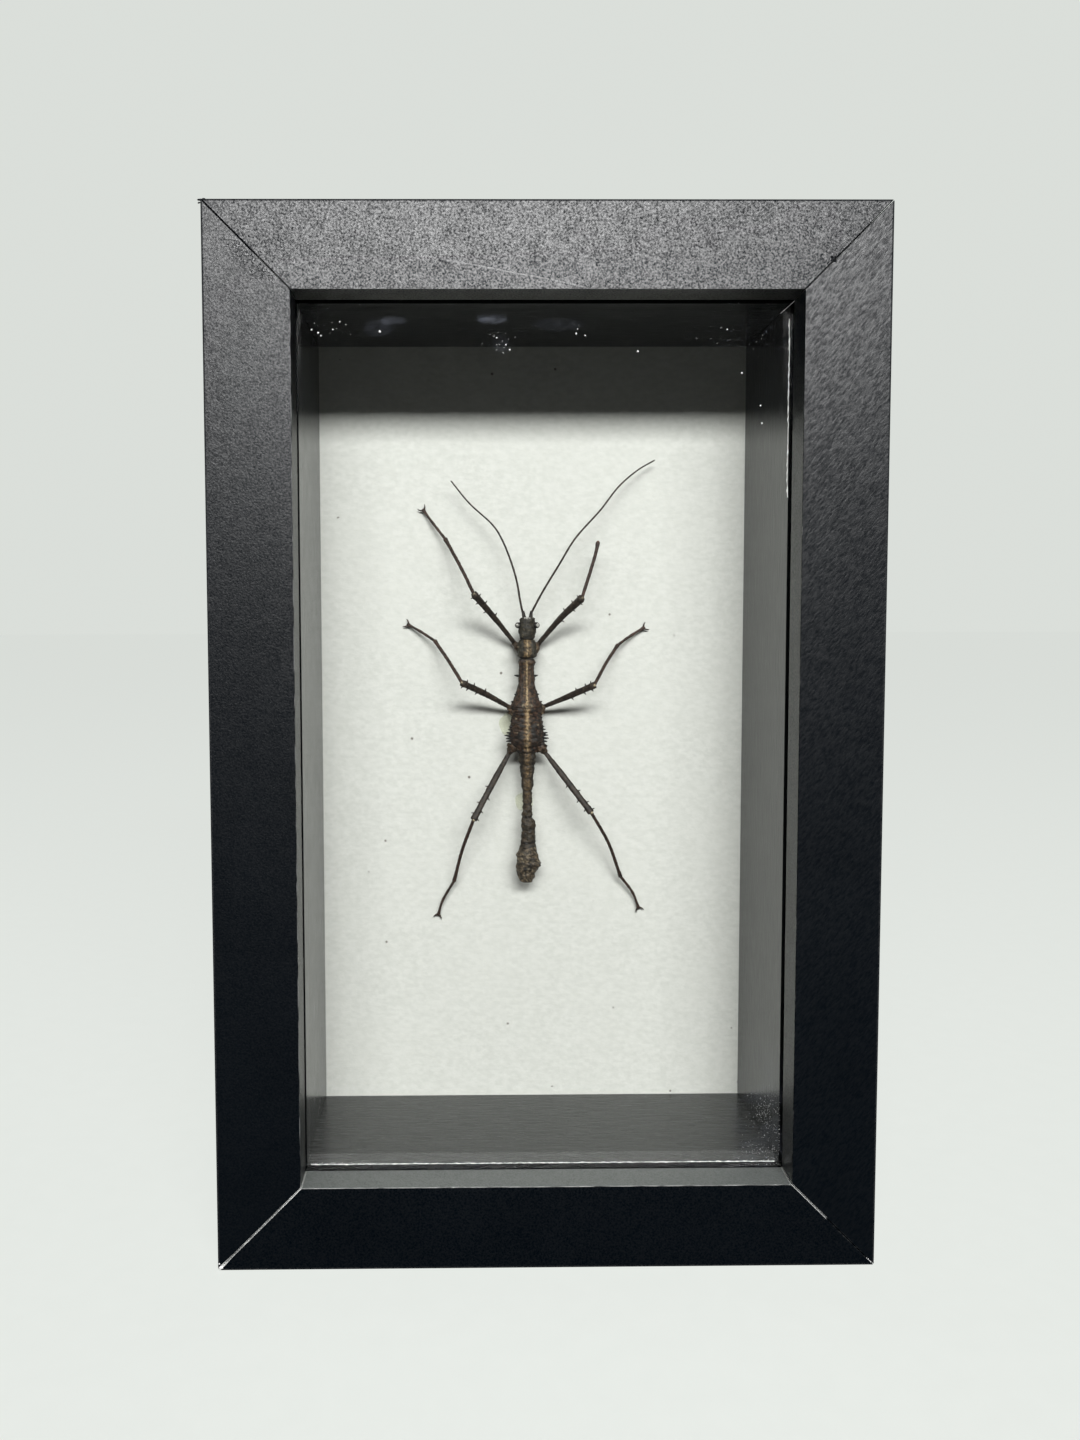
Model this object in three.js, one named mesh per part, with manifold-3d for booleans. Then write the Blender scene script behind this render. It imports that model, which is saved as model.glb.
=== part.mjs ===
// A deep box frame that shows one dried stick insect. Four mitred rails hold a sheet of glass,
// four liner strips, a backing card and a back board that lifts out past four turn buttons.
// Millimetres, +Z up, glass facing -Y. The origin is the middle of the base, halfway through
// the frame's depth. Left and right are as seen from the front, so left is -X.
import * as THREE from 'three';
import Module from 'manifold-3d';
import { mergeVertices } from 'three/addons/utils/BufferGeometryUtils.js';

const wasm = await Module();
wasm.setup();

// Frame
const WIDTH = 134;
const HEIGHT = 213;
const DEPTH = 45;
const FACE = 17; // width of a rail seen from the front
const LIP_DEPTH = 6.8; // depth of the lip in front of the glass
const RABBET = 5; // width of the step behind the lip
const MITRE_GAP = 0.15; // measured along a rail
const WALL = FACE - RABBET;
const FRONT_Y = -DEPTH / 2;
const REAR_Y = DEPTH / 2;
const CENTRE_Z = HEIGHT / 2;

// What sits in the rabbet, from front to back
const REST_GAP = 0.1; // between flat pieces that rest on each other
const EDGE_GAP = 0.4; // between a sheet's edge and the rabbet
const GLASS_THICKNESS = 2;
const CARD_THICKNESS = 0.6;
const BOARD_THICKNESS = 2.8;
const BOARD_RECESS = 0.5; // from the rails' rear face
const SHEET_WIDTH = WIDTH - 2 * (WALL + EDGE_GAP);
const SHEET_HEIGHT = HEIGHT - 2 * (WALL + EDGE_GAP);
const GLASS_FRONT_Y = FRONT_Y + LIP_DEPTH + REST_GAP;
const BOARD_FRONT_Y = REAR_Y - BOARD_RECESS - BOARD_THICKNESS;
const CARD_FRONT_Y = BOARD_FRONT_Y - REST_GAP - CARD_THICKNESS;
const LINER_THICKNESS = RABBET - EDGE_GAP;
const LINER_FRONT_Y = GLASS_FRONT_Y + GLASS_THICKNESS + REST_GAP;
const LINER_DEPTH = CARD_FRONT_Y - REST_GAP - LINER_FRONT_Y;

// V-nails, driven into the rear of each mitre
const CUT_GAP = 0.3; // round a fastener in the hole or slot that it sits in
const V_NAIL_WING = 4.2;
const V_NAIL_THICKNESS = 0.4;
const V_NAIL_HEIGHT = 8;
const V_NAIL_RECESS = 0.2;
const V_NAIL_INSET = 4.2; // of the V's point from both outer faces
const PAST_FACE = 1; // how far a cutter runs out past the face that it cuts

// Turn buttons and their screws
const BUTTON_THICKNESS = 1.2;
const BUTTON_GAP = 0.2; // between a button and the rail, and under the screw's head
const BUTTON_PIVOT_RADIUS = 4.2;
const BUTTON_TIP_RADIUS = 2.6;
const BUTTON_ARM = 11.4; // from the screw to the middle of the round tip
const BUTTON_RIB_RADIUS = 1.1;
const BUTTON_RIB_HEIGHT = 0.6;
const BUTTON_FROM_CENTRE = 56.5; // up or down from the frame's middle
const SCREW_RADIUS = 1.3;
const SCREW_LENGTH = 10; // in the rail
const SCREW_HEAD_RADIUS = 2.8;
const SCREW_HEAD_HEIGHT = 1.8;
const SCREW_POINT = 2.6; // length of the taper
// Shares of the head's radius and height, from its rim to its crown
const SCREW_DOME = [[1, 0.4], [0.8, 0.8], [0.4, 1]];
const RECESS_WIDTH = 0.7;
const RECESS_LENGTH = 3;
const RECESS_DEPTH = 1;

// Sawtooth hanger and its nails
const HANGER_LENGTH = 45;
const HANGER_HEIGHT = 7;
const HANGER_THICKNESS = 0.8;
const HANGER_RISE = 1.2; // of its middle, so that a wall nail fits behind it
const HANGER_FLAT_END = 7.5;
const HANGER_SLOPE = 2;
const TOOTH_PITCH = 2;
const TOOTH_DEPTH = 1.3;
const TEETH_EACH_SIDE = 5;
const NOTCH_OVERLAP = 0.1; // of a notch cutter below the hanger's lower edge
const NAIL_RADIUS = 0.65;
const NAIL_LENGTH = 9;
const NAIL_POINT = 2;
const NAIL_HEAD_RADIUS = 1.8;
const NAIL_CROWN_RADIUS = 1.45;
const NAIL_HEAD_HEIGHT = 0.6;
const NAIL_X = HANGER_LENGTH / 2 - HANGER_FLAT_END / 2;

// The insect lies along Z, held off the card by two dots of glue
const BODY_X = -1.8;
const BODY_HEIGHT = 6.5; // of its axis above the card
const BODY_FLATNESS = 0.75;
const FEMUR_RADIUS = 0.6;
const TIBIA_RADIUS = 0.4;
const ANTENNA_RADIUS = 0.25;
const JOINT_GAP = 0.9; // at each end of a leg piece

const MATERIALS = {
  foil: { color: 0x17171a, roughness: 0.45, metalness: 0 },
  liner: { color: 0x1b1b1e, roughness: 0.5, metalness: 0 },
  glass: { color: 0xeef4f4, roughness: 0.03, metalness: 0, transparent: true, opacity: 0.2 },
  card: { color: 0xe6e8e0, roughness: 0.9, metalness: 0 },
  board: { color: 0x6b4a30, roughness: 0.85, metalness: 0 },
  steel: { color: 0xb4b6b8, roughness: 0.35, metalness: 1 },
  body: { color: 0x3c2c22, roughness: 0.6, metalness: 0 },
  legs: { color: 0x2a2320, roughness: 0.6, metalness: 0 },
  glue: { color: 0xd6d7ba, roughness: 0.2, metalness: 0, transparent: true, opacity: 0.7 },
};
for (const slot of Object.keys(MATERIALS)) {
  MATERIALS[slot] = new THREE.MeshStandardMaterial({ name: slot, ...MATERIALS[slot] });
}

function mesh(name, geometry, material) {
  const piece = new THREE.Mesh(geometry, material);
  piece.name = name;
  return piece;
}

// Booleans

function toSolid(geometry) {
  const bare = geometry.clone();
  bare.deleteAttribute('normal');
  bare.deleteAttribute('uv');
  const merged = mergeVertices(bare, 1e-4);
  return new wasm.Manifold(new wasm.Mesh({
    numProp: 3,
    vertProperties: new Float32Array(merged.attributes.position.array),
    triVerts: new Uint32Array(merged.index.array),
  }));
}

function toGeometry(solid) {
  const { vertProperties, triVerts } = solid.getMesh();
  const geometry = new THREE.BufferGeometry();
  geometry.setAttribute('position', new THREE.BufferAttribute(vertProperties, 3));
  geometry.setIndex(new THREE.BufferAttribute(triVerts, 1));
  geometry.computeVertexNormals();
  return geometry;
}

function cut(geometry, cutters) {
  const solid = cutters.reduce((rest, cutter) => rest.subtract(toSolid(cutter)), toSolid(geometry));
  return toGeometry(solid);
}

// Shapes

// A box from its lowest corner and its size.
function box(x, y, z, width, depth, height) {
  return new THREE.BoxGeometry(width, depth, height)
    .translate(x + width / 2, y + depth / 2, z + height / 2);
}

function outline(points) {
  return new THREE.Shape(points.map(([x, y]) => new THREE.Vector2(x, y)));
}

// An outline in X and Z made into a plate, from y back to y + thickness.
function plate(shape, y, thickness) {
  return new THREE.ExtrudeGeometry(shape, { depth: thickness, bevelEnabled: false, curveSegments: 8 })
    .rotateX(Math.PI / 2)
    .translate(0, y + thickness, 0);
}

// A profile of [radius, distance] turned round the Y axis. It starts and ends on the axis.
function turned(profile, segments) {
  return new THREE.LatheGeometry(profile.map(([r, y]) => new THREE.Vector2(r, y)), segments);
}

function rod(radius, from, to) {
  return turned([[0, from], [radius, from], [radius, to], [0, to]], 16);
}

// Rails. A rail lies along X with its outer face up, at Z = 0, and both ends mitred.

// A V-nail, or with grow above zero the slot cutter for one.
function vNailPlate(grow) {
  const far = V_NAIL_THICKNESS / 2 + grow;
  const tip = -V_NAIL_WING - grow;
  const shape = outline([[far, far], [tip, far], [tip, -far], [-far, -far], [-far, tip], [far, tip]]);
  const front = REAR_Y - V_NAIL_RECESS - V_NAIL_HEIGHT - grow;
  const rear = grow > 0 ? REAR_Y + PAST_FACE : REAR_Y - V_NAIL_RECESS;
  return plate(shape, front, rear - front);
}

function mitredRail(length) {
  const section = outline([
    [FRONT_Y, 0],
    [FRONT_Y, -FACE],
    [FRONT_Y + LIP_DEPTH, -FACE],
    [FRONT_Y + LIP_DEPTH, -WALL],
    [REAR_Y, -WALL],
    [REAR_Y, 0],
  ]);
  const rail = new THREE.ExtrudeGeometry(section, { depth: 1, bevelEnabled: false });
  const toRail = new THREE.Matrix4().makeBasis(
    new THREE.Vector3(0, 1, 0),
    new THREE.Vector3(0, 0, 1),
    new THREE.Vector3(1, 0, 0),
  );
  rail.applyMatrix4(toRail);
  const { position } = rail.attributes;
  for (let i = 0; i < position.count; i += 1) {
    const end = length / 2 + position.getZ(i) - MITRE_GAP / 2;
    position.setX(i, position.getX(i) > 0.5 ? end : -end);
  }
  return rail;
}

function rail(length, holes) {
  const rightSlot = vNailPlate(CUT_GAP).translate(length / 2 - V_NAIL_INSET, 0, -V_NAIL_INSET);
  const leftSlot = vNailPlate(CUT_GAP)
    .rotateY(-Math.PI / 2)
    .translate(V_NAIL_INSET - length / 2, 0, -V_NAIL_INSET);
  return cut(mitredRail(length), [rightSlot, leftSlot, ...holes]);
}

// A blind hole in a rail's rear face.
function pilotHole(x, radius, depth) {
  return rod(radius + CUT_GAP, REAR_Y - depth - CUT_GAP, REAR_Y + PAST_FACE)
    .translate(x, 0, -WALL / 2);
}

function makeRails() {
  const screwHoles = [-BUTTON_FROM_CENTRE, BUTTON_FROM_CENTRE]
    .map((x) => pilotHole(x, SCREW_RADIUS, SCREW_LENGTH));
  const nailHoles = [-NAIL_X, NAIL_X].map((x) => pilotHole(x, NAIL_RADIUS, NAIL_LENGTH));
  const places = [
    ['frame_top', rail(WIDTH, nailHoles), 0, HEIGHT, 0],
    ['frame_bottom', rail(WIDTH, []), 0, 0, Math.PI],
    ['frame_left', rail(HEIGHT, screwHoles), -WIDTH / 2, CENTRE_Z, -Math.PI / 2],
    ['frame_right', rail(HEIGHT, screwHoles), WIDTH / 2, CENTRE_Z, Math.PI / 2],
  ];
  return places.map(([name, geometry, x, z, turn]) => {
    const piece = mesh(name, geometry, MATERIALS.foil);
    piece.position.set(x, 0, z);
    piece.rotation.y = turn;
    return piece;
  });
}

function makeVNails() {
  const x = WIDTH / 2 - V_NAIL_INSET;
  const low = V_NAIL_INSET;
  const high = HEIGHT - V_NAIL_INSET;
  const places = [
    ['v_nail_top_right', x, high, 0],
    ['v_nail_bottom_right', x, low, Math.PI / 2],
    ['v_nail_bottom_left', -x, low, Math.PI],
    ['v_nail_top_left', -x, high, -Math.PI / 2],
  ];
  return places.map(([name, px, pz, turn]) => {
    const piece = mesh(name, vNailPlate(0), MATERIALS.steel);
    piece.position.set(px, 0, pz);
    piece.rotation.y = turn;
    return piece;
  });
}

// Sheets and liner strips

function sheet(y, thickness) {
  return box(-SHEET_WIDTH / 2, y, CENTRE_Z - SHEET_HEIGHT / 2, SHEET_WIDTH, thickness, SHEET_HEIGHT);
}

function makeLiners() {
  const halfOpening = WIDTH / 2 - FACE;
  const left = -SHEET_WIDTH / 2;
  const across = (z) => box(left, LINER_FRONT_Y, z, SHEET_WIDTH, LINER_DEPTH, LINER_THICKNESS);
  const upright = (x) => box(
    x,
    LINER_FRONT_Y,
    FACE + REST_GAP,
    LINER_THICKNESS,
    LINER_DEPTH,
    HEIGHT - 2 * (FACE + REST_GAP),
  );
  return [
    mesh('liner_top', across(HEIGHT - FACE), MATERIALS.liner),
    mesh('liner_bottom', across(FACE - LINER_THICKNESS), MATERIALS.liner),
    mesh('liner_left', upright(left), MATERIALS.liner),
    mesh('liner_right', upright(halfOpening), MATERIALS.liner),
  ];
}

// Rear hardware. Each fastener's profile is turned round Y, head to the rear.

function buttonGeometry() {
  const slope = Math.asin((BUTTON_PIVOT_RADIUS - BUTTON_TIP_RADIUS) / BUTTON_ARM);
  const shape = new THREE.Shape();
  shape.absarc(0, 0, BUTTON_PIVOT_RADIUS, -slope, Math.PI + slope, false);
  shape.absarc(0, -BUTTON_ARM, BUTTON_TIP_RADIUS, Math.PI + slope, 2 * Math.PI - slope, false);
  const hole = new THREE.Path();
  hole.absarc(0, 0, SCREW_RADIUS + CUT_GAP, 0, 2 * Math.PI, true);
  shape.holes.push(hole);
  const rearY = REAR_Y + BUTTON_GAP + BUTTON_THICKNESS;
  const rib = new THREE.CapsuleGeometry(BUTTON_RIB_RADIUS, BUTTON_ARM / 2, 4, 12)
    .rotateX(Math.PI / 2)
    .scale(1, BUTTON_RIB_HEIGHT / BUTTON_RIB_RADIUS, 1)
    .translate(0, rearY, -BUTTON_ARM / 2 - SCREW_HEAD_RADIUS);
  const flat = toSolid(plate(shape, rearY - BUTTON_THICKNESS, BUTTON_THICKNESS));
  return toGeometry(flat.add(toSolid(rib)));
}

function screwGeometry() {
  const headY = REAR_Y + 2 * BUTTON_GAP + BUTTON_THICKNESS;
  const crown = headY + SCREW_HEAD_HEIGHT;
  const tip = REAR_Y - SCREW_LENGTH;
  const screw = turned([
    [0, tip],
    [SCREW_RADIUS, tip + SCREW_POINT],
    [SCREW_RADIUS, headY],
    [SCREW_HEAD_RADIUS, headY],
    ...SCREW_DOME.map(([out, up]) => [out * SCREW_HEAD_RADIUS, headY + up * SCREW_HEAD_HEIGHT]),
    [0, crown],
  ], 16);
  const slot = new THREE.BoxGeometry(RECESS_LENGTH, 2 * RECESS_DEPTH, RECESS_WIDTH)
    .translate(0, crown, 0);
  return cut(screw, [slot, slot.clone().rotateY(Math.PI / 2)]);
}

function makeTurnButtons() {
  const pieces = [];
  const rows = [['upper', CENTRE_Z + BUTTON_FROM_CENTRE], ['lower', CENTRE_Z - BUTTON_FROM_CENTRE]];
  const sides = [['left', (WALL - WIDTH) / 2], ['right', (WIDTH - WALL) / 2]];
  for (const [row, z] of rows) {
    for (const [side, x] of sides) {
      const button = mesh(`turn_button_${row}_${side}`, buttonGeometry(), MATERIALS.steel);
      const screw = mesh(`turn_button_screw_${row}_${side}`, screwGeometry(), MATERIALS.steel);
      button.position.set(x, 0, z);
      screw.position.set(x, 0, z);
      pieces.push(button, screw);
    }
  }
  return pieces;
}

function hangerGeometry() {
  const end = HANGER_LENGTH / 2;
  const bend = end - HANGER_FLAT_END;
  const raised = bend - HANGER_SLOPE;
  const near = [
    [-end, 0],
    [-bend, 0],
    [-raised, HANGER_RISE],
    [raised, HANGER_RISE],
    [bend, 0],
    [end, 0],
  ];
  const far = near.map(([x, y]) => [x, y + HANGER_THICKNESS]).reverse();
  const strip = new THREE.ExtrudeGeometry(outline([...near, ...far]), {
    depth: HANGER_HEIGHT,
    bevelEnabled: false,
  });
  const through = HANGER_RISE + HANGER_THICKNESS + 2 * PAST_FACE;
  const cutters = [-NAIL_X, NAIL_X].map((x) => rod(NAIL_RADIUS + CUT_GAP, -PAST_FACE, through)
    .translate(x, 0, HANGER_HEIGHT / 2));
  const half = TOOTH_PITCH / 2;
  const notch = outline([[-half, -NOTCH_OVERLAP], [half, -NOTCH_OVERLAP], [0, TOOTH_DEPTH]]);
  for (let n = -TEETH_EACH_SIDE; n <= TEETH_EACH_SIDE; n += 1) {
    cutters.push(plate(notch, -PAST_FACE, through).translate(n * TOOTH_PITCH, 0, 0));
  }
  return cut(strip, cutters).translate(0, REAR_Y + REST_GAP, 0);
}

function nailGeometry() {
  const headY = REAR_Y + 2 * REST_GAP + HANGER_THICKNESS;
  const tip = REAR_Y - NAIL_LENGTH;
  return turned([
    [0, tip],
    [NAIL_RADIUS, tip + NAIL_POINT],
    [NAIL_RADIUS, headY],
    [NAIL_HEAD_RADIUS, headY],
    [NAIL_CROWN_RADIUS, headY + NAIL_HEAD_HEIGHT],
    [0, headY + NAIL_HEAD_HEIGHT],
  ], 16);
}

function makeHanger() {
  const middleZ = HEIGHT - WALL / 2;
  const hanger = mesh('sawtooth_hanger', hangerGeometry(), MATERIALS.steel);
  hanger.position.z = middleZ - HANGER_HEIGHT / 2;
  const nails = [['left', -NAIL_X], ['right', NAIL_X]].map(([side, x]) => {
    const nail = mesh(`hanger_nail_${side}`, nailGeometry(), MATERIALS.steel);
    nail.position.set(x, 0, middleZ);
    return nail;
  });
  return [hanger, ...nails];
}

// The insect. Points are [x, height above the card, z].

function above([x, height, z]) {
  return new THREE.Vector3(x, CARD_FRONT_Y - height, z);
}

function tube(points, radius, sides, steps) {
  const section = new THREE.Shape();
  section.absarc(0, 0, radius, 0, 2 * Math.PI, false);
  const path = new THREE.CatmullRomCurve3(points, false, 'centripetal');
  return new THREE.ExtrudeGeometry(section, { steps, curveSegments: sides / 2, extrudePath: path });
}

// The point a little way from one point towards another.
function stepFrom(from, to, distance) {
  return from.clone().add(to.clone().sub(from).setLength(distance));
}

// Each segment's [radius, z], from its tail end to its head end.
const BODY_SEGMENTS = {
  insect_abdomen: [
    [1.4, 70.6], [2.7, 74.5], [2.4, 78], [1.6, 83], [1.1, 90], [1.5, 96], [1.8, 101.4],
  ],
  insect_metathorax: [[2.8, 102], [3.6, 104.5], [3.1, 109], [3.1, 111.8]],
  insect_mesothorax: [[2.9, 112.4], [2.5, 115], [1.7, 118], [1.6, 122.8]],
  insect_prothorax: [[1.5, 123.4], [2, 125.5], [1.6, 127.6]],
  insect_head: [[1.3, 128.2], [2, 130.5], [1.4, 132.8]],
};

const LEGS = {
  front_left: {
    hip: [-4.2, 2.4, 126.6],
    knee: [-14.1, 12.4, 138],
    ankle: [-20.6, 3.5, 151.1],
    toe: [-25.7, 1, 158],
  },
  front_right: {
    hip: [1, 2.4, 126.4],
    knee: [10.2, 12.4, 137.1],
    ankle: [13.8, 8, 147.2],
    toe: [14.5, 7, 149.9],
  },
  middle_left: {
    hip: [-5.7, 3.2, 111.8],
    knee: [-16.8, 12, 118],
    ankle: [-23.1, 3.5, 127.4],
    toe: [-29.4, 1, 131.2],
  },
  middle_right: {
    hip: [2.2, 3.2, 111.8],
    knee: [13.1, 12, 117.4],
    ankle: [19.7, 3.5, 126.3],
    toe: [26.2, 1, 130.3],
  },
  hind_left: {
    hip: [-5.6, 4.8, 101.5],
    knee: [-14.3, 11.5, 86.7],
    ankle: [-18.8, 3, 70.5],
    toe: [-22.6, 1, 61.9],
  },
  hind_right: {
    hip: [2.4, 4.8, 101.5],
    knee: [12.6, 11.5, 88.2],
    ankle: [20.7, 3, 71.4],
    toe: [25.4, 1, 63.3],
  },
};

const ANTENNAE = {
  left: [[-2.8, 6.4, 133.5], [-5.6, 7, 145.9], [-9.8, 6.2, 154.2], [-19.2, 4.6, 164.3]],
  right: [[-0.7, 6.5, 133.5], [5.4, 9, 144.8], [14.8, 8, 157.1], [28.2, 2.5, 169.3]],
};

const GLUE_DOTS = {
  upper: { x: -5.6, z: 107.9, radius: 3.3, height: 3.4 },
  lower: { x: -3.4, z: 89.5, radius: 2.7, height: 4.6 },
};

function makeBody() {
  return Object.entries(BODY_SEGMENTS).map(([name, stations]) => {
    const profile = [[0, stations[0][1]], ...stations, [0, stations.at(-1)[1]]];
    const geometry = turned(profile, 14).rotateX(Math.PI / 2).scale(1, BODY_FLATNESS, 1);
    const piece = mesh(name, geometry, MATERIALS.body);
    piece.position.set(BODY_X, CARD_FRONT_Y - BODY_HEIGHT, 0);
    return piece;
  });
}

function makeLegs() {
  return Object.entries(LEGS).flatMap(([name, leg]) => {
    const [hip, knee, ankle, toe] = [leg.hip, leg.knee, leg.ankle, leg.toe].map(above);
    const femur = [stepFrom(hip, knee, JOINT_GAP), stepFrom(knee, hip, JOINT_GAP)];
    const tibia = [stepFrom(knee, ankle, JOINT_GAP), ankle, toe];
    return [
      mesh(`insect_${name}_femur`, tube(femur, FEMUR_RADIUS, 8, 1), MATERIALS.legs),
      mesh(`insect_${name}_tibia`, tube(tibia, TIBIA_RADIUS, 8, 10), MATERIALS.legs),
    ];
  });
}

function makeAntennae() {
  return Object.entries(ANTENNAE).map(([side, points]) => {
    const geometry = tube(points.map(above), ANTENNA_RADIUS, 6, 16);
    return mesh(`insect_antenna_${side}`, geometry, MATERIALS.legs);
  });
}

// A dome that stands on the card.
function makeGlue() {
  const quarter = [0, 1, 2, 3, 4].map((n) => (n * Math.PI) / 8);
  return Object.entries(GLUE_DOTS).map(([name, { x, z, radius, height }]) => {
    const rim = quarter.map((a) => [radius * Math.cos(a), height * Math.sin(a)]);
    rim[rim.length - 1][0] = 0;
    const dome = mesh(`glue_dot_${name}`, turned([[0, 0], ...rim], 16), MATERIALS.glue);
    dome.rotation.x = Math.PI;
    dome.position.set(x, CARD_FRONT_Y - REST_GAP, z);
    return dome;
  });
}

// The whole object

const shadowBox = new THREE.Group();
shadowBox.add(
  ...makeRails(),
  ...makeVNails(),
  mesh('glass_pane', sheet(GLASS_FRONT_Y, GLASS_THICKNESS), MATERIALS.glass),
  ...makeLiners(),
  ...makeTurnButtons(),
  ...makeHanger(),
);

const back = new THREE.Group();
back.add(
  mesh('backing_card', sheet(CARD_FRONT_Y, CARD_THICKNESS), MATERIALS.card),
  mesh('back_board', sheet(BOARD_FRONT_Y, BOARD_THICKNESS), MATERIALS.board),
  ...makeBody(),
  ...makeLegs(),
  ...makeAntennae(),
  ...makeGlue(),
);
shadowBox.add(back);

export default shadowBox;
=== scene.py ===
"""The looks of a shadow box that shows a dried stick insect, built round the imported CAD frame.

Lengths are millimetres, which MM turns into metres. The lights and the camera are placed in metres,
and so is anything whose name ends in _M.
+Z is up and the glass faces -Y. Left and right are as seen from the front, so left is -X.
"""

import math
import random

import bpy
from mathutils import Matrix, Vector, noise


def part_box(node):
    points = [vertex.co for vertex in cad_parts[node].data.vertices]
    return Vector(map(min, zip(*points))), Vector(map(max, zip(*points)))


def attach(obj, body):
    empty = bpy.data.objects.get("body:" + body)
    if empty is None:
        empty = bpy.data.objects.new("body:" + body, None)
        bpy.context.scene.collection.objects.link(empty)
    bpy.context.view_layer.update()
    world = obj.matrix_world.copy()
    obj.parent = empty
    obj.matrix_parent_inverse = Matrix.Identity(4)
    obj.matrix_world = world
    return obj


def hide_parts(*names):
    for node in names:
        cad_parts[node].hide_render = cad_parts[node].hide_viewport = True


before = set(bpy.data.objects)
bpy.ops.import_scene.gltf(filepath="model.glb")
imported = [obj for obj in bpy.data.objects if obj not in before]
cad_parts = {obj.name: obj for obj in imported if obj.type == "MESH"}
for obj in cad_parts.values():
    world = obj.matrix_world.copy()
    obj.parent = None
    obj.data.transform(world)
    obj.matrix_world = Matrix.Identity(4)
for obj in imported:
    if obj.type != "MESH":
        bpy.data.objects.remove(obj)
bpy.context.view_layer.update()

MM = 0.001
scene = bpy.context.scene
rng = random.Random(11)


def node_box(name):
    """Lowest and highest corner of a CAD node, in millimetres."""
    low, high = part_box(name)
    return low / MM, high / MM


# Driving dimensions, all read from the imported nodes
RAIL_LOW, RAIL_HIGH = node_box("frame_left")
TOP_RAIL_LOW, TOP_RAIL_HIGH = node_box("frame_top")
HALF_WIDTH = -RAIL_LOW.x
HEIGHT = TOP_RAIL_HIGH.z
FACE = TOP_RAIL_HIGH.z - TOP_RAIL_LOW.z
FRONT_Y = RAIL_LOW.y
REAR_Y = RAIL_HIGH.y
CARD_Y = node_box("backing_card")[0].y
GLASS_Y = node_box("glass_pane")[0].y
LINER_Y = node_box("liner_bottom")[0].y
OPENING_HALF = HALF_WIDTH - FACE


# Node materials

def math_method(operation, swapped=False):
    """A method that adds a math node to its Value's shader."""
    def method(self, other=0):
        pair = (other, self) if swapped else (self, other)
        return self.shader.math(operation, *pair)

    return method


class Value:
    """A number that varies over a surface. Arithmetic on Values adds math nodes."""

    def __init__(self, shader, socket):
        self.shader = shader
        self.socket = socket

    __add__ = __radd__ = math_method("ADD")
    __sub__ = math_method("SUBTRACT")
    __rsub__ = math_method("SUBTRACT", swapped=True)
    __mul__ = math_method("MULTIPLY")
    __gt__ = math_method("GREATER_THAN")
    __lt__ = math_method("LESS_THAN")
    __abs__ = math_method("ABSOLUTE")
    at_least = math_method("MAXIMUM")
    at_most = math_method("MINIMUM")


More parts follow.
